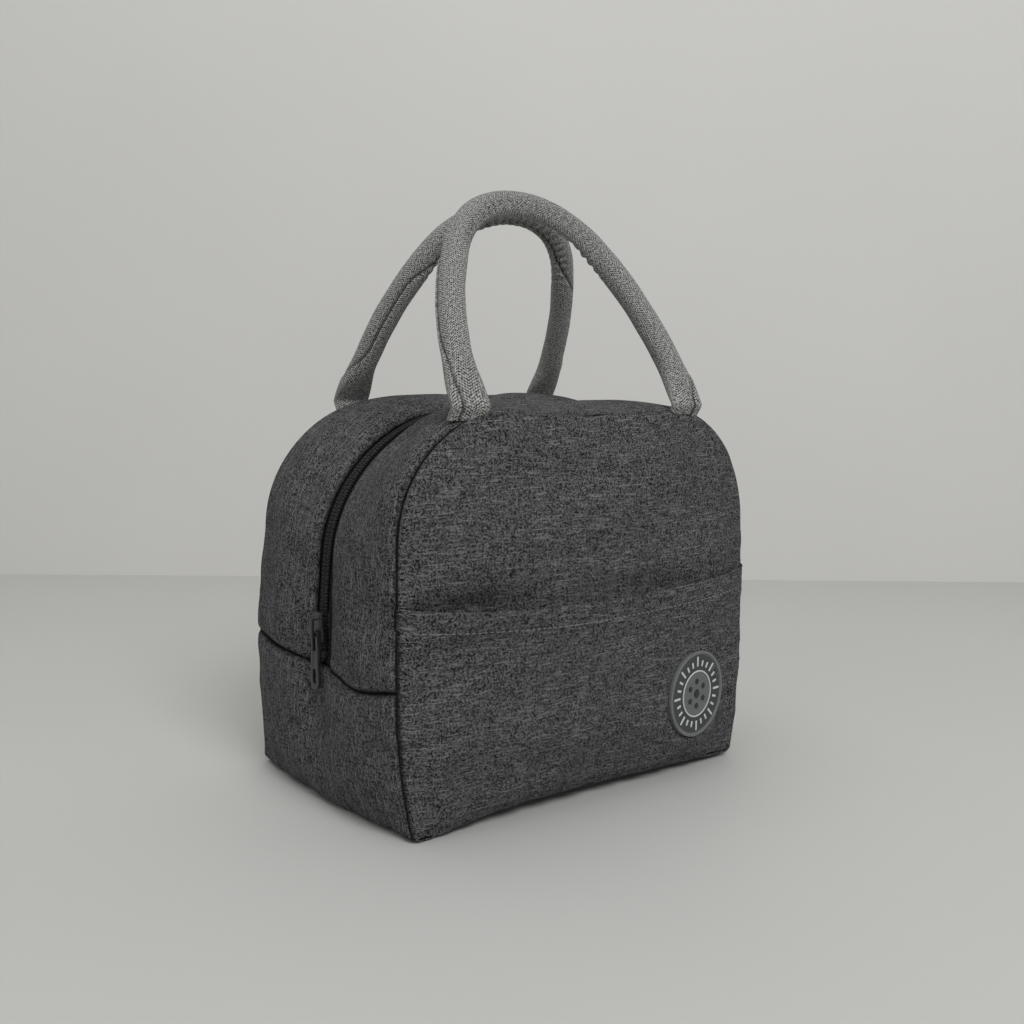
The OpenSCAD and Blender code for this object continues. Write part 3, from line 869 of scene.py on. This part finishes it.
def pocket_points(u, height, drop):
    """Points of the pocket: u across from -1 to 1, at a height, drop behind its face."""
    half = half_width(height)
    x = u * half
    placed = follow(np.stack([x, np.full_like(x, -FACE_Y), height], 1))
    to_seam = np.minimum(half - np.abs(x), height - POCKET_FOOT * 0.5)
    free = smooth(to_seam / (9 * MM))
    wide = smooth(to_seam / (42 * MM))
    mouth = smooth((height - MOUTH_FROM) / (POCKET_TOP - MOUTH_FROM))
    slack = SLACK + MOUTH_SLACK * mouth
    slack += GAPE * mouth * np.exp(-((x - GAPE_X) / GAPE_WIDE) ** 2)
    placed[:, 1] -= (0.25 + slack * free) * MM + dented(x, height, PANEL_DENTS)
    placed[:, 1] += dented(x, height, POCKET_DENTS)
    placed[:, 1] += SEAM_DEPTH * 1.1 * np.clip(1 - to_seam / SEAM_WIDTH, 0, 1) ** 2
    share = 0.55 * wide * (1 - 0.75 * mouth)
    filled_out = placed[:, 1] * (1 - share) + bowed(placed[:, 0]) * share
    placed[:, 1] = np.minimum(placed[:, 1], filled_out)
    near_badge = np.hypot(placed[:, 0] - BADGE.x, placed[:, 2] - BADGE.z)
    tilt = math.asin(BADGE.x / BOW_R)
    plane = bowed(BADGE.x) + (placed[:, 0] - BADGE.x) * math.tan(tilt)
    hold = smooth(1 - (near_badge - BADGE_R) / (15 * MM))
    placed[:, 1] = placed[:, 1] * (1 - hold) + plane * hold
    placed[:, 1] += drop
    return placed


def make_pocket():
    """Grid from the foot to the lip, then down inside as the hem."""
    spread = 1.35
    columns = np.sin(np.linspace(-1, 1, POCKET_COLUMNS + 1) * spread) / math.sin(spread) * POCKET_REACH
    top = lip_height(columns * SIDE_X)
    rows = []
    for t in np.linspace(0, 1, POCKET_ROWS + 1):
        rows.append(pocket_points(columns, POCKET_FOOT + t * (top - POCKET_FOOT), 0))
    for t in np.linspace(0.04, 1, HEM_ROWS):
        rows.append(pocket_points(columns, top - t * HEM, min(1, t * 12) * HEM_GAP))
    count = POCKET_COLUMNS + 1
    faces = [
        (r * count + c, r * count + c + 1, (r + 1) * count + c + 1, (r + 1) * count + c)
        for r in range(len(rows) - 1)
        for c in range(POCKET_COLUMNS)
    ]
    pocket = new_piece("slip_pocket", np.vstack(rows), faces)
    uv = pocket.data.uv_layers.new(name="weave")
    for loop in pocket.data.loops:
        row, column = divmod(loop.vertex_index, count)
        x = columns[column] * SIDE_X
        z = min(row, POCKET_ROWS) / POCKET_ROWS * lip_height(x)
        z -= max(row - POCKET_ROWS, 0) * HEM / HEM_ROWS
        uv.data[loop.index].uv = (x + 0.31, z + 0.017)
    # The pocket's sewn edges get painted seam shade, darkest at the edge, like the panels' seams
    t = np.minimum(np.arange(len(rows)) / POCKET_ROWS, 1)[:, None]
    height = POCKET_FOOT + t * (top - POCKET_FOOT)
    to_edge = np.minimum((1 - np.abs(columns)) * half_width(height), height)
    shade_points(pocket.data, "seam_shade", DARKEST * np.clip(1.6 - to_edge / (1.7 * MM), 0, 1))
    return pocket


pocket = make_pocket()
finish_cloth(pocket, POCKET_T)
bend_with_mouth(pocket, "front_half")
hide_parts("pocket_lower", "pocket_upper")

BEAD_SIDES, BEAD_RINGS = 6, 5
STITCH_PITCH = 3.2 * MM
STITCH_L, STITCH_T = 2.5 * MM, 0.5 * MM
STITCH_SINK = 0.12 * MM


def tube_faces(rings, sides, first=0, closed=False):
    """Faces of a tube of rings: capped at both ends, or closed into a loop."""
    faces = []
    for r in range(rings if closed else rings - 1):
        near, far = first + r * sides, first + (r + 1) % rings * sides
        for s in range(sides):
            after = (s + 1) % sides
            faces.append((near + s, near + after, far + after, far + s))
    if not closed:
        faces.append(tuple(first + s for s in reversed(range(sides))))
        faces.append(tuple(first + (rings - 1) * sides + s for s in range(sides)))
    return faces


def stitches(name, centres, directions, normals, length, width, material):
    """One bead of thread per stitch, lying along the line and a little proud of it."""
    points, faces = [], []
    for centre, direction, normal in zip(centres, directions, normals):
        direction = direction / np.linalg.norm(direction)
        across = np.cross(direction, normal)
        faces += tube_faces(BEAD_RINGS, BEAD_SIDES, len(points))
        for t in np.linspace(-1, 1, BEAD_RINGS):
            r = width / 2 * max(0.25, math.sqrt(max(0, 1 - t * t * 0.94)))
            for a in np.arange(BEAD_SIDES) * 2 * math.pi / BEAD_SIDES:
                points.append(
                    centre + direction * t * length / 2
                    + across * r * math.cos(a)
                    + normal * (r * math.sin(a) * 0.8 - width * 0.25 * abs(t))
                )
    row = new_piece(name, points, faces)
    face_outwards(row)
    give(row, material)
    bpy.ops.object.shade_smooth()
    return row


def thread_material(name, grey):
    """Sewing thread, darker and lighter where its twist turns."""
    return mottled_material(name, *two_tones(grey, 0.6, 1.3), roughness=0.7, scale=900)


PALE_THREAD = thread_material("pale_thread", (0.23, 0.23, 0.225))
count = int(2 * SIDE_X / STITCH_PITCH) - 1
u = (np.arange(count) - (count - 1) / 2) * STITCH_PITCH / SIDE_X
line = pocket_points(u, lip_height(u * SIDE_X) - HEM, -STITCH_SINK)
forwards = np.tile((0.0, -1.0, 0.0), (count, 1))
topstitch = stitches(
    "pocket_topstitch", line, np.gradient(line, axis=0), forwards, STITCH_L, STITCH_T, PALE_THREAD
)
bend_with_mouth(topstitch, "front_half")

# ---------------------------------------------------------------- zip
# A black coil zip closes the slot from one side seam, over the top, to the other. Each
# row of nylon coil is stitched along its own woven tape, and the tapes are sewn under
# the edges of the gusset strips.

SEAM_REACH, AROUND = along_outline(SIDE_X, SEAM_H)
ZIP_LENGTH = AROUND - 2 * SEAM_REACH
ZIP_POINTS = 401
TAPE_DEPTH, TAPE_T = 2.7 * MM, 0.6 * MM
TAPE_EDGE, TAPE_FAR = 1.1 * MM, 14.5 * MM
TAPE_ALONG, TAPE_ACROSS = 150, 8
COIL_DEPTH, COIL_T, COIL_L = 1.3 * MM, 1.5 * MM, 3.3 * MM
COIL_PITCH = 1.5 * MM
COIL_OVERLAP = 0.35 * MM
COIL_START, COIL_SPARE = 3 * MM, 4 * MM
SEWING_PITCH = 2.1 * MM
SEWING_L, SEWING_T = 1.4 * MM, 0.5 * MM
# The sewing's three rows on each side, as distance from the middle and depth
SEWING_ROWS = ((1.5 * MM, 0.55 * MM), (2.5 * MM, 0.7 * MM), (4.4 * MM, 2.25 * MM))


def zip_line(s):
    """A point of the level zip, a distance s from the left side seam, over the top."""
    near = min(s, ZIP_LENGTH - s)
    side, quarter = BODY_H - TOP_R - SEAM_H, TOP_R * math.pi / 2
    angle = min(max(near - side, 0), quarter) / TOP_R
    x = -(SIDE_X - TOP_R) - TOP_R * math.cos(angle) + max(near - side - quarter, 0)
    z = BODY_H - TOP_R + TOP_R * math.sin(angle) - max(side - near, 0)
    return (x if near == s else -x), 0, z


def smooth_rows(values, passes=6):
    """Evens out small steps along a line of points, and keeps its ends."""
    for _ in range(passes):
        values[1:-1] = (values[:-2] + 2 * values[1:-1] + values[2:]) / 4
    return values


# The middle of the zip after the slump: distances along it, its points, the way it
# runs, and the way out of the bag
ZIP_S = np.linspace(0, ZIP_LENGTH, ZIP_POINTS)
middle = (np.abs(y0) < ON_LINE) & (z0 > SEAM_H - ON_LINE)
reach = along_outline(x0[middle], z0[middle])[0] - SEAM_REACH
reach = np.where(x0[middle] > 0, ZIP_LENGTH - reach, reach)
order = np.argsort(reach)
ZIP_P = np.array([zip_line(s) for s in ZIP_S])
for axis in range(3):
    ZIP_P[:, axis] += np.interp(ZIP_S, reach[order], shift[middle][order, axis])
ZIP_P = smooth_rows(ZIP_P)
ZIP_T = np.gradient(ZIP_P, axis=0)
ZIP_T /= np.linalg.norm(ZIP_T, axis=1, keepdims=True)
ZIP_N = np.cross(ZIP_T, (0, 1, 0))
ZIP_N *= np.where(ZIP_N[:1, 0] < 0, 1, -1)


def on_zip(s, y, depth):
    """Points s along the zip, y from its middle and depth below it, its run and way out."""
    place, run, out = (
        np.stack([np.interp(s, ZIP_S, column) for column in rows.T], 1)
        for rows in (ZIP_P, ZIP_T, ZIP_N)
    )
    place -= out * depth
    place[:, 1] += y
    return place, run, out


def tape_material():
    """Black woven tape: fine twill ribs across its width."""
    sockets = {"Roughness": 0.75, "Specular IOR Level": 0.3}
    material, tree, shader = new_material("black_tape", sockets)
    place = add_node(tree, "TexCoord").outputs["Object"]
    sockets = {"Vector": place, "Scale": 420, "Distortion": 0.6}
    ribs = add_node(tree, "TexWave", sockets, bands_direction="DIAGONAL").outputs["Fac"]
    fuzz = add_node(tree, "TexNoise", {"Vector": place, "Scale": 1400}).outputs["Fac"]
    yarn = adder_of_sums(tree)("MULTIPLY", ribs, fuzz)
    fill_sockets(tree, shader, {
        "Base Color": between(tree, yarn, (0.003, 0.003, 0.003, 1), (0.013, 0.013, 0.014, 1)),
        "Normal": bumped(tree, yarn, 0.5, 0.2 * MM),
    })
    return material


TAPE = tape_material()
COIL = mottled_material(
    "nylon_coil", (0.002, 0.002, 0.002), (0.007, 0.007, 0.008),
    roughness=0.6, scale=500, detail=3, grain=0.15 * MM,
)
GREY_THREAD = thread_material("grey_thread", (0.035, 0.035, 0.035))


def make_tape(name, sign):
    """One woven tape: a long strip that lies under the strip's edge."""
    bpy.ops.mesh.primitive_grid_add(x_subdivisions=TAPE_ALONG, y_subdivisions=TAPE_ACROSS, size=2)
    tape = bpy.context.object
    tape.name = name
    points = coordinates(tape)
    s = (points[:, 0] + 1) / 2 * ZIP_LENGTH
    out = TAPE_EDGE + (points[:, 1] + 1) / 2 * (TAPE_FAR - TAPE_EDGE)
    set_coordinates(tape, on_zip(s, sign * out, TAPE_DEPTH)[0])
    apply_modifier(tape, "SOLIDIFY", thickness=TAPE_T, offset=0)
    face_outwards(tape)
    bpy.ops.object.shade_smooth_by_angle(angle=math.radians(40))
    give(tape, TAPE)
    return tape


# The two coils' teeth lie half a pitch apart, so that they mesh
for side, sign, offset in (("front", -1, 0.25), ("back", 1, 0.75)):
    tape = make_tape(side + "_tape", sign)
    bend_with_mouth(tape, side + "_half")
    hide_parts(side + "_zip_tape")
    count = int((ZIP_LENGTH - COIL_SPARE) / COIL_PITCH)
    teeth = (np.arange(count) + offset) * COIL_PITCH + COIL_START
    place, run, out = on_zip(teeth, sign * (COIL_L / 2 - COIL_OVERLAP), COIL_DEPTH)
    cross = np.tile((0.0, 1.0, 0.0), (count, 1))
    coil = stitches(side + "_coil", place, cross, out, COIL_L, COIL_T, COIL)
    bend_with_mouth(coil, side + "_half")
    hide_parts(side + "_zip_coil")
    sewing = np.arange(1, int(ZIP_LENGTH / SEWING_PITCH)) * SEWING_PITCH
    rows = [on_zip(sewing, sign * lane, depth) for lane, depth in SEWING_ROWS]
    place, run, out = (np.vstack(parts) for parts in zip(*rows))
    threads = stitches(side + "_coil_sewing", place, run, out, SEWING_L, SEWING_T, GREY_THREAD)
    bend_with_mouth(threads, side + "_half")


def polish(node, name, width, material, body):
    """A copy of a construction node with its sharp edges rounded as a casting's are."""
    piece = bpy.data.objects.new(name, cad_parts[node].data.copy())
    bpy.context.collection.objects.link(piece)
    only(piece)
    bpy.ops.object.mode_set(mode="EDIT")
    bpy.ops.mesh.select_all(action="SELECT")
    bpy.ops.mesh.remove_doubles(threshold=0.005 * MM)
    bpy.ops.mesh.dissolve_limited(angle_limit=math.radians(1))
    bpy.ops.object.mode_set(mode="OBJECT")
    apply_modifier(
        piece, "BEVEL", width=width, segments=3, limit_method="ANGLE",
        angle_limit=math.radians(30), use_clamp_overlap=True,
    )
    give(piece, material)
    bpy.ops.object.shade_smooth_by_angle(angle=math.radians(35))
    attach(piece, body)
    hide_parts(node)


LACQUER = mottled_material(
    "black_lacquer", (0.014, 0.014, 0.015), (0.034, 0.034, 0.036),
    roughness=0.38, scale=160, detail=3, grain=0.05 * MM,
)
for node, name, width, body in (
    ("zip_slider", "slider_casting", 0.3 * MM, "slider"),
    ("zip_pull", "pull_tab", 0.25 * MM, "pull"),
    ("front_zip_top_stop", "front_top_stop", 0.3 * MM, "front_half"),
    ("back_zip_top_stop", "back_top_stop", 0.3 * MM, "back_half"),
    ("zip_bottom_stop", "bottom_stop", 0.3 * MM, "tub"),
):
    polish(node, name, width, LACQUER, body)

# ---------------------------------------------------------------- bindings
# Inside the bag, a folded black tape is sewn over the raw edges where each panel meets
# the gusset, all the way round.

BINDING_H = 6 * MM
BINDING_T = 2 * MM
BINDING_INSET = 5.4 * MM
BINDING_SIDES = 12
TOP_POINTS, BASE_POINTS = 22, 36


def outline_loop():
    """Level points once round a panel, up its right side first."""
    rise = [(half, z) for half, z in ROWS]
    top_half, base_half = ROWS[-1][0], ROWS[0][0]
    over = [(x, BODY_H) for x in np.linspace(top_half, -top_half, TOP_POINTS)[1:-1]]
    fall = [(-half, z) for half, z in reversed(ROWS)]
    under = [(x, 0) for x in np.linspace(-base_half, base_half, BASE_POINTS)[1:-1]]
    return np.array(rise + over + fall + under)


def make_binding(name, sign):
    """A closed tube of squared-off section, swept round just inside a panel's edge."""
    loop = outline_loop()
    count = len(loop)
    run = np.roll(loop, -1, axis=0) - np.roll(loop, 1, axis=0)
    inward = np.stack([-run[:, 1], run[:, 0]], 1)
    inward /= np.linalg.norm(inward, axis=1, keepdims=True)
    placed = follow(np.stack([loop[:, 0], np.full(count, sign * FACE_Y), loop[:, 1]], 1))
    rings = []
    for k in range(BINDING_SIDES):
        turn = 2 * math.pi * k / BINDING_SIDES
        c, s = math.cos(turn), math.sin(turn)
        flat = (abs(c) ** 5 + abs(s) ** 5) ** -0.2
        deep = BINDING_INSET + BINDING_H / 2 * (1 + c * flat)
        back_off = BINDING_INSET + BINDING_T / 2 * (1 + s * flat)
        step = [inward[:, 0] * deep, np.full(count, -sign * back_off), inward[:, 1] * deep]
        rings.append(placed + np.stack(step, 1))
    points = np.stack(rings, 1).reshape(-1, 3)
    binding = new_piece(name, points, tube_faces(count, BINDING_SIDES, closed=True))
    face_outwards(binding)
    bpy.ops.object.shade_smooth()
    give(binding, TAPE)
    return binding


for side, sign in (("front", -1), ("back", 1)):
    binding = make_binding(side + "_binding", sign)
    bend_with_mouth(binding, side + "_half")
    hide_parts(side + "_binding_lower", side + "_binding_upper")

# ---------------------------------------------------------------- badge
# A soft moulded rubber disc is stuck and stitched to the pocket. It has a raised rim,
# a dark band with plain white ticks, a thin white ring, and a grey middle with dots.

BADGE_PLACE = (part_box("badge_disc")[0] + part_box("badge_disc")[1]) / 2
RIM_R, BAND_R, EYE_R = 21.5 * MM, 20.6 * MM, 12.2 * MM
EYE_GREY = (0.13, 0.135, 0.135, 1)
BAND_GREY = (0.042, 0.045, 0.046, 1)
RIM_GREY = (0.15, 0.155, 0.155, 1)


def badge_material():
    """Moulded rubber whose pigment changes from the middle to the band and the rim."""
    material = mottled_material(
        "badge_rubber", (0.05, 0.052, 0.052), (0.062, 0.065, 0.065),
        roughness=0.55, scale=700, detail=3, grain=0.05 * MM,
    )
    tree = material.node_tree
    place = tree.nodes["Texture Coordinate"].outputs["Object"]
    sockets = {0: place, 1: BADGE_PLACE}
    far = add_node(tree, "VectorMath", sockets, operation="DISTANCE").outputs["Value"]
    ratio = adder_of_sums(tree)("DIVIDE", far, BADGE_R)
    ramp = add_node(tree, "ValToRGB", {"Fac": ratio})
    stops = ramp.color_ramp
    stops.interpolation = "LINEAR"
    stops.elements[0].color, stops.elements[1].color = EYE_GREY, RIM_GREY
    stops.elements[0].position = EYE_R / BADGE_R
    stops.elements[1].position = RIM_R / BADGE_R
    for position in (EYE_R / BADGE_R + 0.01, BAND_R / BADGE_R):
        stops.elements.new(position).color = BAND_GREY
    speck = tree.nodes["Noise Texture"].outputs["Fac"]
    grain = between(tree, 0.25, ramp.outputs["Color"], speck, blend_type="OVERLAY")
    fill_sockets(tree, tree.nodes["Principled BSDF"], {"Base Color": grain})
    return material


WHITE_RUBBER = mottled_material(
    "white_rubber", (0.52, 0.53, 0.53), (0.68, 0.69, 0.69),
    roughness=0.5, scale=600, detail=3, grain=0.04 * MM,
)
BLACK_RUBBER = mottled_material(
    "black_rubber", (0.006, 0.006, 0.006), (0.014, 0.014, 0.014),
    roughness=0.35, scale=600, detail=3, grain=0.04 * MM,
)
polish("badge_disc", "badge_disc_moulding", 0.3 * MM, badge_material(), "tub")
polish("badge_inlay", "badge_marks", 0.12 * MM, WHITE_RUBBER, "tub")
polish("badge_dots", "badge_spots", 0.16 * MM, BLACK_RUBBER, "tub")

# ---------------------------------------------------------------- handles
# Each handle is a flat strip of grey herringbone webbing, wrapped round a soft rope and
# lapped along its edge. Its two ends are pressed flat and caught in the panel's top seam.

LEG = 4 * MM
ARCH_R = 51 * MM
HINGE_Y = -73.2 * MM
HINGE_Z = 198 * MM
TUBE_R = 6.7 * MM
TAB_HALF_W = 10.4 * MM
TAB_HALF_T = 1.3 * MM
WEBBING_T = 0.9 * MM
STUB = 7 * MM
TUCK_IN = 3.4 * MM
RING_PITCH = 1.0 * MM
RING_SIDES = 80

# The flat end turns round over this length, and the lap swings inwards over its own
ROUND_FROM, ROUND_OVER = 2 * MM, 27 * MM
LAP_OVER = 38 * MM
LAP_FOOT, LAP_CROWN = -62, 94
CROWN_FROM, CROWN_OVER = 74 * MM, 30 * MM
PUCKER_PITCH, PUCKER_DEPTH = 5.6 * MM, 2.3 * MM
DENT_SIZE, DENT_DEPTH = 16 * MM, 0.35 * MM


def arch_path(span, rise):
    """Stations along the handle, left foot to right, and its whole length."""
    half = span / 2
    top = rise - LEG
    side_r = (half ** 2 + (top - ARCH_R) ** 2 - ARCH_R ** 2) / (2 * (half - ARCH_R))
    swing = math.atan2(top - ARCH_R, side_r - half)
    foot, side = STUB + LEG, side_r * swing
    total = 2 * (foot + side) + ARCH_R * (math.pi - 2 * swing)
    steps = int(total / RING_PITCH)
    stations = []
    for i in range(steps + 1):
        at = total * i / steps
        near = min(at, total - at)
        if near < foot:
            x, up, out = -half, near - STUB, (-1.0, 0.0)
        elif near < foot + side:
            a = (near - foot) / side_r
            x = side_r - half - side_r * math.cos(a)
            up = LEG + side_r * math.sin(a)
            out = (-math.cos(a), math.sin(a))
        else:
            a = swing + (near - foot - side) / ARCH_R
            x = -ARCH_R * math.cos(a)
            up = LEG + top - ARCH_R + ARCH_R * math.sin(a)
            out = (-math.cos(a), math.sin(a))
        if at > total / 2:
            x, out = -x, (-out[0], out[1])
        stations.append((at, near - STUB, x, up, out))
    return stations, total


def webbing_ring(at, round_off, crown, lap, lap_gap, side):
    """One ring of the wrapped webbing: offsets out and back, and painted shade in the lap's slit."""
    wide = TAB_HALF_W + (TUBE_R - TAB_HALF_W) * round_off
    thick = TAB_HALF_T + (TUBE_R - TAB_HALF_T) * round_off ** 0.8
    flat = 1 - round_off
    wander = 2 * math.pi * at / PUCKER_PITCH + 1.3 * math.sin(at / (9 * MM))
    pucker = (0.5 + 0.5 * math.sin(wander)) ** 2
    for k in range(RING_SIDES):
        a = 2 * math.pi * k / RING_SIDES
        c, s = math.cos(a), math.sin(a)
        delta = (a - lap) % (2 * math.pi)
        step = min(1, delta / 0.09) * (1 - float(smooth((delta - 0.5) / 1.9)))
        # The lap's slit is a shallow groove, with painted shade in it
        slit = math.exp(-(((2 * math.pi - delta) / lap_gap) ** 2))
        fat = WEBBING_T * (step - 0.7 * slit) * (0.35 + 0.65 * round_off)
        inner = math.exp(-(((abs(a - math.pi) - 0.95) / 0.5) ** 2))
        ripple = PUCKER_DEPTH * inner * crown * pucker
        dent = DENT_DEPTH * noise.noise(Vector((at / DENT_SIZE, c * 1.3, s * 1.3 + side)))
        grow = fat - ripple + dent * round_off - 0.4 * MM * crown
        squash = (abs(c) ** 4 + abs(s) ** 4) ** -0.25 * flat + 1 - flat
        yield c * (wide + grow) * squash, s * (thick + grow) * (1 + 0.25 * flat), 0.9 * slit


def make_handle(name, span, rise, lean, lap_turn, lap_gap):
    """Sweeps the lapped webbing along the arch; the front handle, leaning back."""
    stations, total = arch_path(span, rise)
    up_axis = Vector((0, math.sin(lean), math.cos(lean)))
    back_axis = Vector((0, math.cos(lean), -math.sin(lean)))
    straight_back = Vector((0, 1, 0))
    points, shades = [], []
    for at, reach, x, up, out in stations:
        outward, backward = Vector((out[0], 0, 0)), straight_back
        if up < 0:
            dive = TUCK_IN * float(smooth(-up / STUB))
            centre = Vector((x, HINGE_Y + dive, HINGE_Z + up))
        else:
            centre = Vector((x, HINGE_Y, HINGE_Z)) + up_axis * up
            outward += up_axis * out[1]
            backward = straight_back.lerp(back_axis, min(1, up / (5 * MM))).normalized()
        outward.normalize()
        round_off = float(smooth((reach - ROUND_FROM) / ROUND_OVER))
        crown = float(smooth((up - CROWN_FROM) / CROWN_OVER))
        lap = LAP_FOOT + (lap_turn - LAP_FOOT) * float(smooth(reach / LAP_OVER))
        lap = math.radians(lap + (LAP_CROWN - LAP_FOOT - lap_turn) * crown)
        side = -1 if at < total / 2 else 1
        for outwards, backwards, shade in webbing_ring(at, round_off, crown, lap, lap_gap, side):
            points.append(centre + outward * outwards + backward * backwards)
            shades.append(shade)
    handle = new_piece(name, points, tube_faces(len(stations), RING_SIDES))
    shade_points(handle.data, "lap_shade", shades)
    uv = handle.data.uv_layers.new(name="weave")
    around = 2 * math.pi * TUBE_R
    for face in handle.data.polygons:
        ks = [v % RING_SIDES for v in face.vertices]
        wrap = max(ks) - min(ks) > RING_SIDES / 2
        for loop, vertex, k in zip(face.loop_indices, face.vertices, ks):
            turn = (k + (RING_SIDES if wrap and k == 0 else 0)) / RING_SIDES
            uv.data[loop].uv = (stations[vertex // RING_SIDES][0], turn * around)
    face_outwards(handle)
    return handle


def webbing_material():
    """Herringbone webbing: slanting rows of pale stitches with dark gaps."""
    sockets = {"Roughness": 0.85, "Specular IOR Level": 0.3, "Sheen Weight": 0.15}
    material, tree, shader = new_material("grey_webbing", sockets)
    calc = adder_of_sums(tree)
    uv = add_node(tree, "UVMap", uv_map="weave").outputs["UV"]
    parts = add_node(tree, "SeparateXYZ", {"Vector": uv})
    band = 2 * math.pi * TUBE_R / 12
    slant = calc("PINGPONG", parts.outputs["Y"], band)
    along = calc("MULTIPLY_ADD", slant, 0.85, parts.outputs["X"])
    rows = calc("SINE", calc("MULTIPLY", along, 2 * math.pi / (1.3 * MM)))
    across = calc("SINE", calc("MULTIPLY", parts.outputs["Y"], 2 * math.pi / (0.9 * MM)))
    sockets = {"Vector": uv, "Scale": 900, "Detail": 1}
    wander = add_node(tree, "TexNoise", sockets, noise_dimensions="2D").outputs["Fac"]
    stitch = calc("MULTIPLY_ADD", rows, 0.34, calc("MULTIPLY_ADD", across, 0.2, 0.47))
    stitch = calc("ADD", stitch, calc("MULTIPLY_ADD", wander, 1.5, -0.75))
    stitch = add_node(tree, "Clamp", {"Value": stitch}).outputs["Result"]
    tone = between(tree, stitch, (0.020, 0.020, 0.020, 1), (0.50, 0.50, 0.48, 1))
    # Painted shade in the lap's slit mixes the webbing towards near black
    lap = add_node(tree, "Attribute", attribute_name="lap_shade").outputs["Fac"]
    fill_sockets(tree, shader, {
        "Base Color": between(tree, lap, tone, (0.012, 0.012, 0.012, 1)),
        "Normal": bumped(tree, stitch, 0.7, 0.5 * MM),
    })
    return material


# The back handle is sewn a little further right, and leans and laps a little more
WEBBING = webbing_material()
for side, sign, sewn_at, span, rise, lean, lap_turn, lap_gap in (
    ("front", 1, -4, 136, 118, 30, 22, 0.15),
    ("back", -1, 13, 133, 121, 32, 62, 0.24),
):
    name = side + "_handle_webbing"
    handle = make_handle(name, span * MM, rise * MM, math.radians(lean), lap_turn, lap_gap)
    set_coordinates(handle, coordinates(handle) * (sign, sign, 1) + (sewn_at * MM, 0, 0))
    give(handle, WEBBING)
    bpy.ops.object.shade_smooth()
    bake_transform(handle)
    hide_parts(side + "_handle_cover", side + "_handle_core", side + "_handle_tabs")
